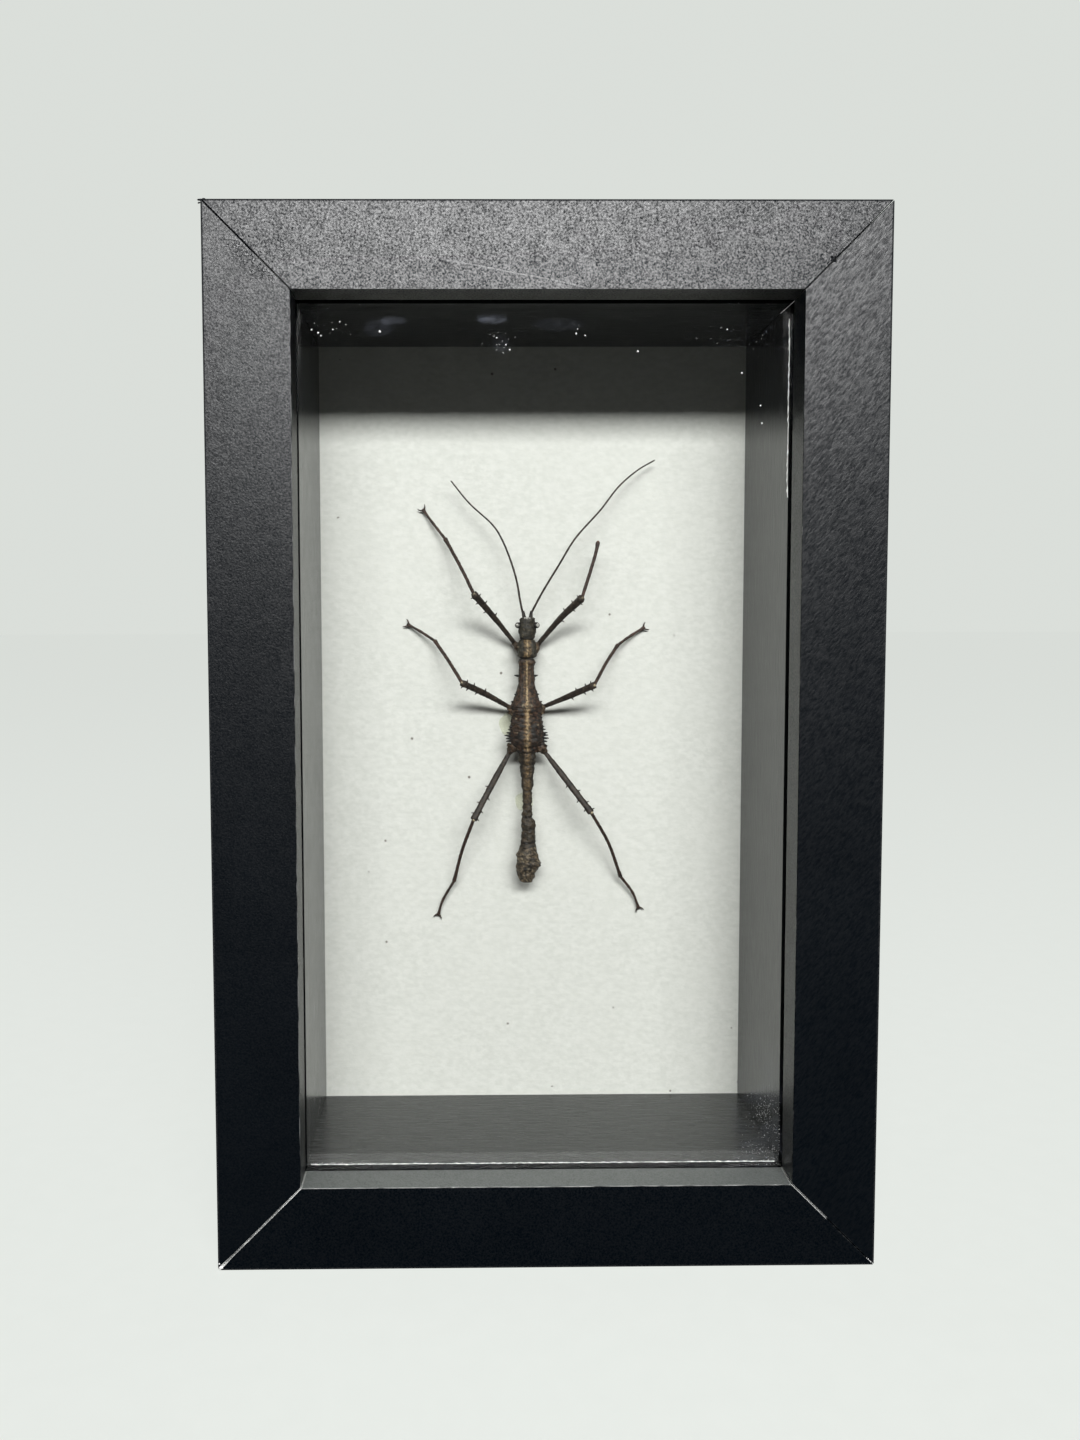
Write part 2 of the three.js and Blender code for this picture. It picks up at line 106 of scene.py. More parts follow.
class Shader:
    """One node material, with the piece's own coordinates in millimetres as x, y and z."""

    def __init__(self, name):
        self.material = bpy.data.materials.new(name)
        self.material.use_nodes = True
        self.tree = self.material.node_tree
        self.surface = self.tree.nodes["Principled BSDF"]
        self.output = self.tree.nodes["Material Output"]
        coords = self.add("ShaderNodeTexCoord").outputs["Object"]
        self.place = self.scaled(coords, 1 / MM)
        split = self.add("ShaderNodeSeparateXYZ", {0: self.place})
        self.x, self.y, self.z = (Value(self, socket) for socket in split.outputs)

    def facing(self, axis, sign):
        """1 on faces that look along an axis of the piece, and 0 on those that don't."""
        normal = self.add("ShaderNodeTexCoord").outputs["Normal"]
        along = Value(self, self.add("ShaderNodeSeparateXYZ", {0: normal}).outputs[axis])
        return self.rise(along * sign, 0.7, 0.95)

    def plug(self, socket, value):
        """Links a Value or a socket to an input, or sets the input to a number or a colour."""
        if isinstance(value, Value):
            value = value.socket
        if isinstance(value, bpy.types.NodeSocket):
            self.tree.links.new(value, socket)
        elif socket.type == "RGBA":
            socket.default_value = (*value, 1)
        else:
            socket.default_value = value

    def add(self, kind, inputs=(), **settings):
        node = self.tree.nodes.new(kind)
        for key, value in settings.items():
            setattr(node, key, value)
        for key, value in dict(inputs).items():
            self.plug(node.inputs[key], value)
        return node

    def math(self, operation, first, second):
        node = self.add("ShaderNodeMath", {0: first, 1: second}, operation=operation)
        return Value(self, node.outputs[0])

    def scaled(self, vector, factor):
        node = self.add("ShaderNodeVectorMath", {0: vector, "Scale": factor}, operation="SCALE")
        return node.outputs[0]

    def noise(self, size, detail=2, stretch=(1, 1, 1), rough=0.5, turn=0):
        """Noise from 0 to 1 with features about size mm across, drawn out along each axis by stretch.

        The axes are first turned about Y by turn degrees.
        """
        shrink = [1 / (size * s) for s in stretch]
        place = self.place
        if turn:
            inputs = {"Vector": place, "Angle": math.radians(turn)}
            place = self.add("ShaderNodeVectorRotate", inputs, rotation_type="Y_AXIS").outputs[0]
        place = self.add("ShaderNodeVectorMath", {0: place, 1: shrink}, operation="MULTIPLY")
        node = self.add(
            "ShaderNodeTexNoise",
            {"Vector": place.outputs[0], "Scale": 1, "Detail": detail, "Roughness": rough},
        )
        return Value(self, node.outputs["Fac"])

    def cells(self, size):
        """Distance from the nearest of many scattered points, about size mm apart, as a share of size."""
        place = self.scaled(self.place, 1 / size)
        node = self.add("ShaderNodeTexVoronoi", {"Vector": place, "Scale": 1})
        return Value(self, node.outputs["Distance"])

    def rise(self, value, low, high):
        """0 below low and 1 above high, smooth between. With low above high it falls instead."""
        inputs = {"Value": value, "From Min": low, "From Max": high}
        node = self.add("ShaderNodeMapRange", inputs, interpolation_type="SMOOTHSTEP")
        return Value(self, node.outputs["Result"])

    def spread(self, value, low, high):
        """A 0 to 1 value spread over low to high."""
        return value * (high - low) + low

    def colours(self, share, first, second):
        """The colour first where share is 0, and second where it is 1."""
        node = self.add("ShaderNodeMix", {0: share}, data_type="RGBA")
        self.plug(node.inputs[6], first)
        self.plug(node.inputs[7], second)
        return node.outputs[2]

    def finish(self, colour, roughness, height=None, **inputs):
        """Colour, roughness, relief height in millimetres, and any other input by its name."""
        self.plug(self.surface.inputs["Base Color"], colour)
        self.plug(self.surface.inputs["Roughness"], roughness)
        for name, value in inputs.items():
            self.plug(self.surface.inputs[name.replace("_", " ")], value)
        if height is not None:
            bump = self.add("ShaderNodeBump", {"Height": height, "Strength": 1, "Distance": MM})
            self.plug(self.surface.inputs["Normal"], bump.outputs[0])
        return self.material

    def see_through(self, share, clear_colour, solid):
        """Clear where share is 0, and looking like the shader node solid where it is 1."""
        clear = self.add("ShaderNodeBsdfTransparent", {"Color": clear_colour})
        mix = self.add("ShaderNodeMixShader", {0: share, 1: clear.outputs[0], 2: solid.outputs[0]})
        self.plug(self.output.inputs["Surface"], mix.outputs[0])
        return self.material


def corner_mask(s, side, high):
    """1 in one quarter of the frame: side is -1 for left, high says whether it is the upper half."""
    across = (s.x < 0) if side < 0 else (s.x > 0)
    along = (s.z > HEIGHT / 2) if high else (s.z < HEIGHT / 2)
    return across * along


SCRATCH_Z = 197.8  # height at which the scratch on the top rail crosses the middle
SCRATCH_FALL = 0.185
SCRATCH_ENDS = (-28, 9)
FOIL_WRAP = 2.6  # width of the foil that is folded over the rear face
CHIP_INSET = (11.6, 11.3)  # from the right side and from the top
GRAIN_SLANT = -38  # degrees, on the right stile


def foil_material():
    """Black foil on a pale core: fine grain, worn arrises, and cracked foil at the mitres."""
    s = Shader("foil")
    from_side = HALF_WIDTH - abs(s.x)
    from_end = s.z.at_most(HEIGHT - s.z)
    inward = from_side.at_most(from_end)
    behind_front = s.y - FRONT_Y
    ragged = s.noise(1.3, 3)
    patchy = s.noise(14, 2)
    fine = s.noise(0.2, 2)

    # Bare core where the arrises are rubbed through
    outer_edge = inward.at_least(behind_front)
    inner_edge = abs(inward - FACE).at_least(behind_front)
    lower_edge = abs(s.z - FACE).at_least(behind_front)
    rubbed = s.rise(patchy, 0.55, 0.74) * s.rise(ragged, 0.5, 0.62)
    outer_wear = s.rise(outer_edge, 0.12, 0.05) * rubbed * 0.12
    inner_wear = s.rise(inner_edge, 0.14, 0.05) * rubbed * 0.25
    lower_broken = s.rise(s.noise(0.5, 4, (9, 1, 1)), 0.36, 0.56) * s.spread(ragged, 0.4, 1)
    lower_wear = s.rise(lower_edge, 0.15, 0.07) * (abs(s.x) < OPENING_HALF + 0.1) * lower_broken * 0.7
    left_edge = abs(s.x + OPENING_HALF).at_least(behind_front)
    left_broken = s.rise(s.noise(0.5, 4, (1, 1, 9)), 0.42, 0.60) * (s.z < HEIGHT - FACE)
    left_wear = s.rise(left_edge, 0.15, 0.07) * (s.z > FACE) * left_broken * 0.35

    # Cracked foil at the four mitres. Along runs from the outer corner to the inner one.
    off_mitre = abs(from_side - from_end)
    along = from_side.at_least(from_end)
    broken = s.noise(0.9, 3)
    wander = off_mitre + (broken - 0.5) * 0.2
    thin = s.rise(wander, 0.17, 0.08)
    flared = off_mitre - s.rise(along, 3.5, 1) * 0.18 + (ragged - 0.5) * 0.03
    even_line = s.rise(flared, 0.31, 0.21)
    ragged_wide = s.rise(off_mitre + (s.noise(0.6, 4) - 0.5) * 0.8, 0.5, 0.1)
    top_left = thin * s.rise(along, 10, 11.5) * s.rise(broken, 0.36, 0.5) * 0.6
    top_right = thin * s.rise(broken, 0.40, 0.56) * 0.6
    bottom_left = even_line * s.spread(s.rise(s.noise(2.2, 2), 0.38, 0.62), 0.5, 0.9)
    bottom_right = (
        even_line * s.rise(along, 9.8, 10.2) * 0.6
        + ragged_wide * s.rise(along, 9.5, 8.5) * s.rise(broken, 0.40, 0.62) * 0.03
    )
    mitres = (
        top_left * corner_mask(s, -1, True)
        + top_right * corner_mask(s, 1, True)
        + bottom_left * corner_mask(s, -1, False)
        + bottom_right * corner_mask(s, 1, False)
    )

    # One long shallow scratch on the top rail
    left_end, right_end = SCRATCH_ENDS
    scratch_line = abs(s.z - (SCRATCH_Z - s.x * SCRATCH_FALL) + (s.noise(9, 1) - 0.5) * 0.9)
    scratch_span = s.rise(s.x, left_end, left_end + 10) * s.rise(s.x, right_end, right_end - 6)
    scratch = s.rise(scratch_line, 0.20, 0.04) * scratch_span * s.rise(s.noise(2.2, 2), 0.30, 0.55)

    # The foil is folded a little way over the rear face, and the rest of that face is bare
    wrap = FOIL_WRAP + (s.noise(5, 3) - 0.5) * 2.2
    bare_rear = s.rise(s.y, REAR_Y - 0.12, REAR_Y - 0.06) * s.rise(inward - wrap, 0, 0.25)

    worn = (outer_wear + inner_wear + lower_wear + left_wear + mitres + bare_rear).at_most(1)
    fibre = s.noise(0.9, 4, (3, 3, 8))
    core = s.colours(fibre, (0.42, 0.36, 0.27), (0.74, 0.70, 0.60))
    pale_edge = s.colours(bare_rear, (0.75, 0.76, 0.74), core)
    black = s.colours(patchy, (0.0003, 0.0016, 0.0033), (0.0008, 0.0025, 0.0046))
    # Upward faces are painted paler, more on the lower half. This is partly settled dust and partly a
    # painted sheen that stands in for the lit card mirrored in the lower lip.
    lower_lip = (s.z < HEIGHT / 2) * 1.2 + 0.8
    dust_and_sheen = s.facing("Z", 1) * lower_lip * s.spread(fine, 0.3, 0.6)
    dusty_and_sheened = s.colours(dust_and_sheen, black, (0.165, 0.178, 0.172))
    scuffed = s.colours(scratch * 0.4, dusty_and_sheened, (0.12, 0.12, 0.125))
    colour = s.colours(worn, scuffed, pale_edge)

    # Grain: pebbled on the rails, and drawn out aslant down the right stile
    pebbled = s.noise(0.40, 3, rough=0.65)
    slanted = s.noise(0.36, 3, (1, 1, 2.8), rough=0.65, turn=GRAIN_SLANT)
    right_stile = (s.x > OPENING_HALF) * (from_side < from_end)
    grain = (pebbled + (slanted - pebbled) * right_stile) * 0.86 + s.noise(2.4, 3) * 0.14
    below_mitre = from_end - from_side
    crinkle_zone = (
        corner_mask(s, -1, True)
        * s.rise(below_mitre, 0.2, 0.9)
        * s.rise(below_mitre, 6, 2.5)
        * s.rise(along, 6, 8.5)
        * s.rise(along, 17, 14)
    )
    crinkle = s.rise(abs(s.noise(1.5, 2) - 0.5), 0.07, 0) * crinkle_zone
    chip_side, chip_top = CHIP_INSET
    chip_reach = abs(from_side - chip_side).at_least(abs(from_end - chip_top)) + (broken - 0.5) * 0.8
    chip = s.rise(chip_reach, 0.55, 0.25) * corner_mask(s, 1, True)
    glossy = s.spread(grain, 0.41, 0.30) + (patchy - 0.5) * 0.05
    dull_arris = s.rise(outer_edge, 0.42, 0.24)
    roughness = glossy + worn * 0.3 - scratch * 0.08 + (dull_arris + chip) * 0.45
    relief = (
        grain * 0.05 + fine * 0.005 + s.noise(2.5, 2) * 0.03
        + crinkle * 0.05 - worn * 0.05 - chip * 0.25
    )
    contrast = (from_end < from_side) * 0.30 + 0.55
    shine = (s.rise(grain, 0.28, 0.72) - 0.5) * contrast + 0.45 + crinkle * 0.35
    return s.finish(colour, roughness, relief, Specular_IOR_Level=shine)


def liner_material(name, stretch):
    """Satin black board with a brushed grain along the strip and settled dust. Upward faces are painted
    paler, partly as a film of dust and partly as a painted sheen, and the front ends are painted
    near-black as shade.
    """
    s = Shader(name)
    streaks = s.noise(0.5, 3, stretch)
    broad = s.noise(9, 2)
    dust = s.rise(s.noise(0.32, 2), 0.70, 0.78) * s.rise(s.noise(16, 2), 0.5, 0.68)
    black = s.colours(s.rise(streaks, 0.35, 0.65), (0.001, 0.0030, 0.0050), (0.030, 0.0325, 0.0340))
    # Upward faces are painted paler: partly a film of dust, partly a painted sheen.
    filmed_and_sheened = s.colours(s.facing("Z", 1) * s.spread(streaks, 0.1, 0.3), black, (0.14, 0.14, 0.135))
    dusty_and_sheened = s.colours(dust * 0.35, filmed_and_sheened, (0.4, 0.4, 0.38))
    # Painted shade: the front ends are painted near-black and made less shiny, although the key light
    # reaches them.
    shaded_front_end = s.facing("Y", -1)
    colour = s.colours(shaded_front_end * 0.9, dusty_and_sheened, (0.001, 0.001, 0.0012))
    roughness = s.spread(streaks, 0.10, 0.34) + (broad - 0.5) * 0.08
    shine = 0.56 - shaded_front_end * 0.5
    relief = streaks * 0.045 + s.noise(0.35, 3) * 0.015 + s.noise(3, 2) * 0.02
    return s.finish(colour, roughness, relief, Specular_IOR_Level=shine)


def card_material():
    """Off-white card with a faint fibre and a few specks."""
    s = Shader("card")
    fibre = s.noise(0.9, 4, (1.6, 1, 1), rough=0.6)
    cloud = s.noise(22, 3)
    specks = s.rise(s.cells(7), 0.055, 0.035) * s.rise(s.noise(5, 2), 0.50, 0.54)
    white = s.colours(s.rise(fibre, 0.25, 0.75), (0.735, 0.745, 0.70), (0.845, 0.85, 0.81))
    toned = s.colours(s.rise(cloud, 0.35, 0.7) * 0.35, white, (0.81, 0.815, 0.77))
    colour = s.colours(specks * 0.8, toned, (0.13, 0.10, 0.08))
    return s.finish(colour, s.spread(fibre, 0.75, 0.9), fibre * 0.06 + s.noise(4, 2) * 0.05)


def board_material():
    """Brown hardboard: pressed fibres with light and dark flecks."""
    s = Shader("hardboard")
    fibres = s.noise(0.7, 5, (2.4, 1, 1.6), rough=0.65)
    cloud = s.noise(30, 3)
    dark = s.rise(s.noise(0.5, 2, (3, 1, 1)), 0.60, 0.70)
    light = s.rise(s.noise(0.6, 2, (1, 1, 3)), 0.64, 0.74)
    brown = s.colours(fibres, (0.115, 0.062, 0.032), (0.265, 0.155, 0.085))
    toned = s.colours(s.rise(cloud, 0.3, 0.7) * 0.4, brown, (0.17, 0.10, 0.058))
    flecked = s.colours(dark * 0.6, toned, (0.05, 0.028, 0.016))
    colour = s.colours(light * 0.5, flecked, (0.42, 0.29, 0.18))
    return s.finish(colour, s.spread(fibres, 0.55, 0.85), fibres * 0.08 + cloud * 0.2)


def steel_material():
    """Zinc-plated steel: spangle, dull patches and drawn lines."""
    s = Shader("zinc_steel")
    spangle = s.noise(1.6, 2)
    lines = s.noise(0.25, 3, (6, 1, 1))
    tarnish = s.rise(s.noise(3.2, 3), 0.5, 0.68)
    bright = s.colours(spangle, (0.47, 0.48, 0.49), (0.66, 0.67, 0.68))
    colour = s.colours(tarnish * 0.45, bright, (0.30, 0.28, 0.24))
    roughness = s.spread(lines, 0.24, 0.40) + tarnish * 0.18
    return s.finish(colour, roughness, lines * 0.012 + spangle * 0.02, Metallic=1.0)


def glass_material():
    """Clear sheet glass that lets light through and mirrors a little, more so at a low angle."""
    s = Shader("glass")
    front_side = 1 - Value(s, s.add("ShaderNodeNewGeometry").outputs["Backfacing"])
    mirror_share = Value(s, s.add("ShaderNodeFresnel", {"IOR": 1.5}).outputs[0]) * front_side * 1.8
    polish = s.spread(s.noise(6, 2), 0.02, 0.06)
    mirror = s.add("ShaderNodeBsdfAnisotropic", {"Color": (1, 1, 1), "Roughness": polish})
    return s.see_through(mirror_share, (0.992, 0.997, 0.990), mirror)


def grime_material():
    """A thin film on the glass: a few wiped smears near the top, and a haze towards two corners."""
    s = Shader("glass_grime")
    streaky = s.rise(s.noise(0.8, 3, (2.2, 1, 0.8), turn=12), 0.36, 0.66)
    cloudy = s.rise(s.noise(5, 3), 0.40, 0.62)

    def patch(x, z, half_width, half_height):
        """1 at a point on the glass, falling to 0 at an oval round it."""
        across = (s.x - x) * (1 / half_width)
        up = (s.z - z) * (1 / half_height)
        return s.rise(across * across + up * up, 1, 0.1)

    smears = (
        patch(-30.6, 192.0, 3.4, 1.2) * 0.5
        + patch(-33.5, 190.6, 3.6, 2.2) * 0.25
        + patch(-10.8, 192.4, 3.6, 1.3)
        + patch(-9.0, 187.4, 2.0, 2.2) * 0.25
        + patch(2.5, 191.2, 6.0, 1.6) * 0.2
    )
    motes = s.rise(s.noise(0.4, 2, (0.7, 1, 1.8), turn=30), 0.66, 0.76)
    high_corner = patch(40, 189, 13, 9)
    low_corner = patch(46, 24, 10, 22)
    veil = (
        smears * s.spread(streaky, 0.3, 1) * 0.085
        + motes * (low_corner * 0.35 + high_corner * 0.22)
        + low_corner * cloudy * 0.015
    )
    tone = s.noise(3, 2)
    s.finish(s.colours(tone, (0.42, 0.50, 0.75), (0.80, 0.84, 0.92)), s.spread(tone, 0.5, 0.7))
    return s.see_through(veil, (1, 1, 1), s.surface)


def tinted_material(name, relief, roughness_low, roughness_high):
    """Chitin whose broad colours are painted on the points, with fine mottling and relief."""
    s = Shader(name)
    tint = s.add("ShaderNodeAttribute", attribute_name="tint").outputs["Color"]
    pitted = s.noise(0.28, 4, rough=0.6)
    blotched = pitted * 0.5 + s.noise(0.7, 3) * 0.5
    colour = s.colours(s.rise(blotched, 0.40, 0.60), s.scaled(tint, 0.28), s.scaled(tint, 1.5))
    return s.finish(colour, s.spread(pitted, roughness_low, roughness_high), pitted * relief)


def glue_material():
    """Clear glue that has yellowed a little, full of small bubbles."""
    s = Shader("clear_glue")
    bubbles = s.rise(s.cells(0.8), 0.18, 0.12)
    cloud = s.noise(1.4, 3)
    colour = s.colours(cloud, (0.86, 0.88, 0.60), (0.95, 0.96, 0.76))
    pale = s.colours(bubbles * 0.5, colour, (0.92, 0.93, 0.86))
    s.finish(pale, s.spread(cloud, 0.12, 0.3), cloud * 0.15 + bubbles * 0.03, Coat_Weight=0.3)
    return s.see_through(s.spread(cloud, 0.08, 0.18) + bubbles * 0.05, (0.985, 0.99, 0.94), s.surface)


def glowing_dust_material():
    """Pale dust and bare core, with a painted glow from emission so that they show on black."""
    s = Shader("dust")
    tone = s.noise(0.5, 2)
    pale = s.colours(tone, (0.62, 0.62, 0.60), (0.93, 0.93, 0.92))
    # The emission is a painted glow: the dust and core shine with no lamp on them.
    return s.finish(pale, s.spread(tone, 0.6, 0.9), Emission_Color=(0.9, 0.9, 0.9), Emission_Strength=0.4)


# Meshes

def held(value, low=0, high=1):
    """The value, or the end of the range that it lies beyond."""
    return max(low, min(high, value))


def turns(count):
    """Angles of points spaced evenly round a circle."""
    return [2 * math.pi * i / count for i in range(count)]


def add_object(name, data):
    thing = bpy.data.objects.new(name, data)
    scene.collection.objects.link(thing)
    return thing


def new_piece(name, vertices, faces, material, body, tints=None):
    """A smooth mesh piece from points in millimetres, riding on a body."""
    data = bpy.data.meshes.new(name)
    data.from_pydata([Vector(v) * MM for v in vertices], [], faces)
    data.validate()
    data.shade_smooth()
    data.materials.append(material)
    if tints:
        layer = data.color_attributes.new("tint", "FLOAT_COLOR", "POINT")
        layer.data.foreach_set("color", [c for tint in tints for c in (*tint, 1)])
    piece = add_object(name, data)
    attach(piece, body)
    return piece


class Builder:
    """Collects points, faces and a colour for each point, for one piece made of several shells."""

    def __init__(self):
        self.vertices = []
        self.faces = []
        self.tints = []

    def loft(self, rings, tint):
        """A closed shell through rings of equal length. tint gives a point's colour."""
        start = len(self.vertices)
        count = len(rings[0])
        for ring in rings:
            self.vertices.extend(ring)
        last = start + (len(rings) - 1) * count
        for low in range(start, last, count):
            for i in range(count):
                j = (i + 1) % count
                self.faces.append((low + i, low + j, low + count + j, low + count + i))
        for ring, first, turn in ((rings[0], start, -1), (rings[-1], last, 1)):
            middle = len(self.vertices)
            self.vertices.append(sum(ring, Vector()) / count)
            for i in range(count):
                pair = (first + i, first + (i + 1) % count)[::turn]
                self.faces.append((*pair, middle))
        self.tints.extend(tint(v) for v in self.vertices[start:])

    def tube(self, path, radius, sides, tint):
        """A closed tube along path. radius(share, angle, place) is its radius there."""
        normal = (path[1] - path[0]).orthogonal().normalized()
        rings = []
        for k, point in enumerate(path):
            ahead = path[min(k + 1, len(path) - 1)] - path[max(k - 1, 0)]
            along = ahead.normalized()
            normal = (normal - along * normal.dot(along)).normalized()
            side = along.cross(normal)
            ring = []
            for angle in turns(sides):
                out = normal * math.cos(angle) + side * math.sin(angle)
                ring.append(point + out * radius(k / (len(path) - 1), angle, point + out))
            rings.append(ring)
        self.loft(rings, tint)

    def blob(self, centre, radii, tint, roughness=0.12, rings=9, sides=14):
        """A lumpy ball."""
        made = []
        for r in range(1, rings):
            polar = math.pi * r / rings
            ring = []
            for angle in turns(sides):
                level = Vector((math.cos(angle), math.sin(angle), 0))
                out = level * math.sin(polar) + Vector((0, 0, math.cos(polar)))
                grow = 1 + roughness * noise.noise((centre + out * max(radii)) * 1.7)
                ring.append(centre + Vector(a * b for a, b in zip(out, radii)) * grow)
            made.append(ring)
        self.loft(made, tint)

    def spine(self, base, tip, radius, tint, sides=6):
        """A cone with a blunt tip."""
        path = [base.lerp(tip, t) for t in (0, 0.4, 0.75, 1)]
        self.tube(path, lambda share, angle, place: radius * (1 - 0.78 * share), sides, tint)

    def piece(self, name, material, body, slot, *replaced):
        made = new_piece(name, self.vertices, self.faces, material, body, self.tints)
        if replaced:
            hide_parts(*replaced)
        return made


def smooth_path(points, step):
    """Points about step apart on a smooth curve through the given ones."""
    points = [Vector(p) for p in points]
    ends = [points[0] * 2 - points[1], *points, points[-1] * 2 - points[-2]]
    path = []
    for a, b, c, d in zip(ends, ends[1:], ends[2:], ends[3:]):
        count = max(1, round((c - b).length / step))
        for k in range(count):
            t = k / count
            path.append(0.5 * (
                2 * b + (c - a) * t + (2 * a - 5 * b + 4 * c - d) * t ** 2
                + (3 * b - a - 3 * c + d) * t ** 3
            ))
    path.append(points[-1])
    return path


def between(stations, z):
    """Each column of stations at height z, smoothly between its rows. Rows start with their z."""
    rows = sorted(stations)
    if z <= rows[0][0]:
        return rows[0][1:]
    for low, high in zip(rows, rows[1:]):
        if z <= high[0]:
            t = (z - low[0]) / (high[0] - low[0])
            t = (t * t * (3 - 2 * t) + t) / 2
            return [a + (b - a) * t for a, b in zip(low[1:], high[1:])]
    return rows[-1][1:]


def mixed(first, second, share):
    """The colour first where share is 0 or less, and second where it is 1 or more."""
    return tuple(a + (b - a) * held(share) for a, b in zip(first, second))


def painted(tint, *coats):
    """Coats of colour over a tint. Each coat is a colour and how much of it shows."""
    for colour, share in coats:
        tint = mixed(tint, colour, share)
    return tint


# The frame and what it holds

def dress(node, material, bevel=0, segments=2):
    """Gives a CAD node its material, and rounds its arrises with a bevel."""
    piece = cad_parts[node]
    piece.data.materials.clear()
    piece.data.materials.append(material)
    if bevel:
        weld = piece.modifiers.new("weld", "WELD")
        weld.merge_threshold = 0.01 * MM
        rounded = piece.modifiers.new("bevel", "BEVEL")
        rounded.width = bevel * MM
        rounded.segments = segments
        rounded.limit_method = "ANGLE"
        rounded.angle_limit = math.radians(35)
        rounded.harden_normals = True


def dress_frame(foil):
    """Dresses every CAD node but the insect's and the glue's, which shells replace."""
    steel = steel_material()
    upright = liner_material("liner_upright", (1, 1, 12))
    across = liner_material("liner_across", (12, 1, 1))
    for side, liner in (("top", across), ("bottom", across), ("left", upright), ("right", upright)):
        dress(f"frame_{side}", foil, 0.15)
        dress(f"liner_{side}", liner, 0.12)
    for side in ("left", "right"):
        dress(f"hanger_nail_{side}", steel, 0.08)
        for row in ("top", "bottom"):
            dress(f"v_nail_{row}_{side}", steel, 0.06, 1)
        for row in ("upper", "lower"):
            dress(f"turn_button_{row}_{side}", steel, 0.12)
            dress(f"turn_button_screw_{row}_{side}", steel, 0.08)
    dress("sawtooth_hanger", steel, 0.08)
    dress("glass_pane", glass_material())
    dress("backing_card", card_material(), 0.05, 1)
    dress("back_board", board_material(), 0.2)


# Dust and damage on the front

def dust_grain(builder, centre, size):
    """An uneven speck with eight faces."""
    start = len(builder.vertices)
    for axis in range(3):
        for end in (-1, 1):
            reach = Vector()
            reach[axis] = end * size * rng.uniform(0.5, 1.0)
            tilt = Vector(rng.uniform(-0.2, 0.2) * size for _ in range(3))
            builder.vertices.append(centre + reach + tilt)
            builder.tints.append((1, 1, 1))
    for a in (0, 1):
        for b in (2, 3):
            for c in (4, 5):
                face = (start + a, start + b, start + c)
                builder.faces.append(face if (a + b + c) % 2 else face[::-1])


# Distances in front of the glass
GRIME_GAP = 0.03
DUST_GAP = 0.08
# Distances from the lip
GRIME_EDGE = 0.05
DUST_EDGE = 0.6
# How many there are
LINER_GRAINS = 900
CORNER_FIBRES = 14


def make_grime():
    """The film on the glass, as a sheet just in front of it."""
    y = GLASS_Y - GRIME_GAP
    low, high = FACE + GRIME_EDGE, HEIGHT - FACE - GRIME_EDGE
    side = OPENING_HALF - GRIME_EDGE
    corners = [(-side, y, low), (side, y, low), (side, y, high), (-side, y, high)]
    film = new_piece("glass_grime", corners, [(0, 1, 2, 3)], grime_material(), "frame")
    film.visible_shadow = False


# Places of the largest specks, as x and z
BRIGHT_SPECKS = [
    (-41.2, 191.8), (-42.6, 190.2), (-40.0, 191.2), (-45.6, 189.6), (-45.0, 189.0), (-46.8, 190.2),
    (-33.2, 189.8), (-9.8, 188.6), (-7.9, 187.2), (-7.1, 186.2), (6.5, 190.3), (6.2, 189.4),
    (8.0, 189.0), (18.6, 185.9), (36.6, 190.2), (39.7, 181.6), (43.5, 175.1), (43.8, 171.6),
]
# Middle x and z, reach, number of specks and the largest one's size
DUST_CLOUDS = [
    (-9, 187.5, 1.3, 26, 0.14),
    (38, 188, 4.5, 46, 0.08),
    (-43, 190.5, 3, 16, 0.10),
    (46.5, 29, 1.8, 150, 0.06),
    (46.0, 21, 2.6, 170, 0.07),
]


def frayed(share, angle, place):
    """Radius of a pale line that thins to nothing here and there."""
    swell = noise.noise(Vector((place.x * 0.9, 3.1, place.z * 0.9)))
    return max(0.008, 0.07 + 0.16 * swell)


def chalk(place):
    return (1, 1, 1)


def dust_on_glass(builder, y):
    """The largest specks, and clouds of fine ones."""
    for x, z in BRIGHT_SPECKS:
        dust_grain(builder, Vector((x, y, z)), rng.uniform(0.20, 0.34))
    side = OPENING_HALF - DUST_EDGE
    low, high = FACE + DUST_EDGE, HEIGHT - FACE - DUST_EDGE
    for x, z, reach, count, largest in DUST_CLOUDS:
        for _ in range(count):
            px = held(rng.gauss(x, reach), -side, side)
            pz = held(rng.gauss(z, reach), low, high)
            dust_grain(builder, Vector((px, y, pz)), rng.uniform(0.03, largest))


def dust_on_liners(builder, y):
    """Grains along the lower liner's front arris, and a pale broken line on it and on the right one's."""
    span = OPENING_HALF - 0.8
    for _ in range(LINER_GRAINS):
        x = rng.uniform(-span, span)
        rise = abs(rng.gauss(0, 0.10)) + (0.3 * rng.random() if x < -36 else 0)
        centre = Vector((x, y + rng.uniform(-0.08, 0.08), FACE + rise))
        dust_grain(builder, centre, rng.uniform(0.03, 0.09))
    lower_line = [Vector((x, y, FACE + 0.06)) for x in (-span, span)]
    builder.tube(smooth_path(lower_line, 0.25), frayed, 6, chalk)
    side_line = [Vector((span + 0.66 + 0.07 * math.sin(z * 0.45), y, z)) for z in range(193, 156, -6)]
    builder.tube(smooth_path(side_line, 0.25), frayed, 6, chalk)


def make_dust():
    """Dust on the glass and the liners, and one hair at the glass's upper right corner."""
    builder = Builder()
    y = GLASS_Y - DUST_GAP
    dust_on_glass(builder, y)
    dust_on_liners(builder, LINER_Y + 0.12)
    hair = [Vector((OPENING_HALF + 1.6, y, 197.3)), Vector((49.6, y, 195.4)), Vector((47.3, y, 193.4))]
    builder.tube(smooth_path(hair, 0.4), lambda share, angle, place: 0.03, 5, chalk)
    builder.piece("glass_dust", glowing_dust_material(), "frame", "glass")


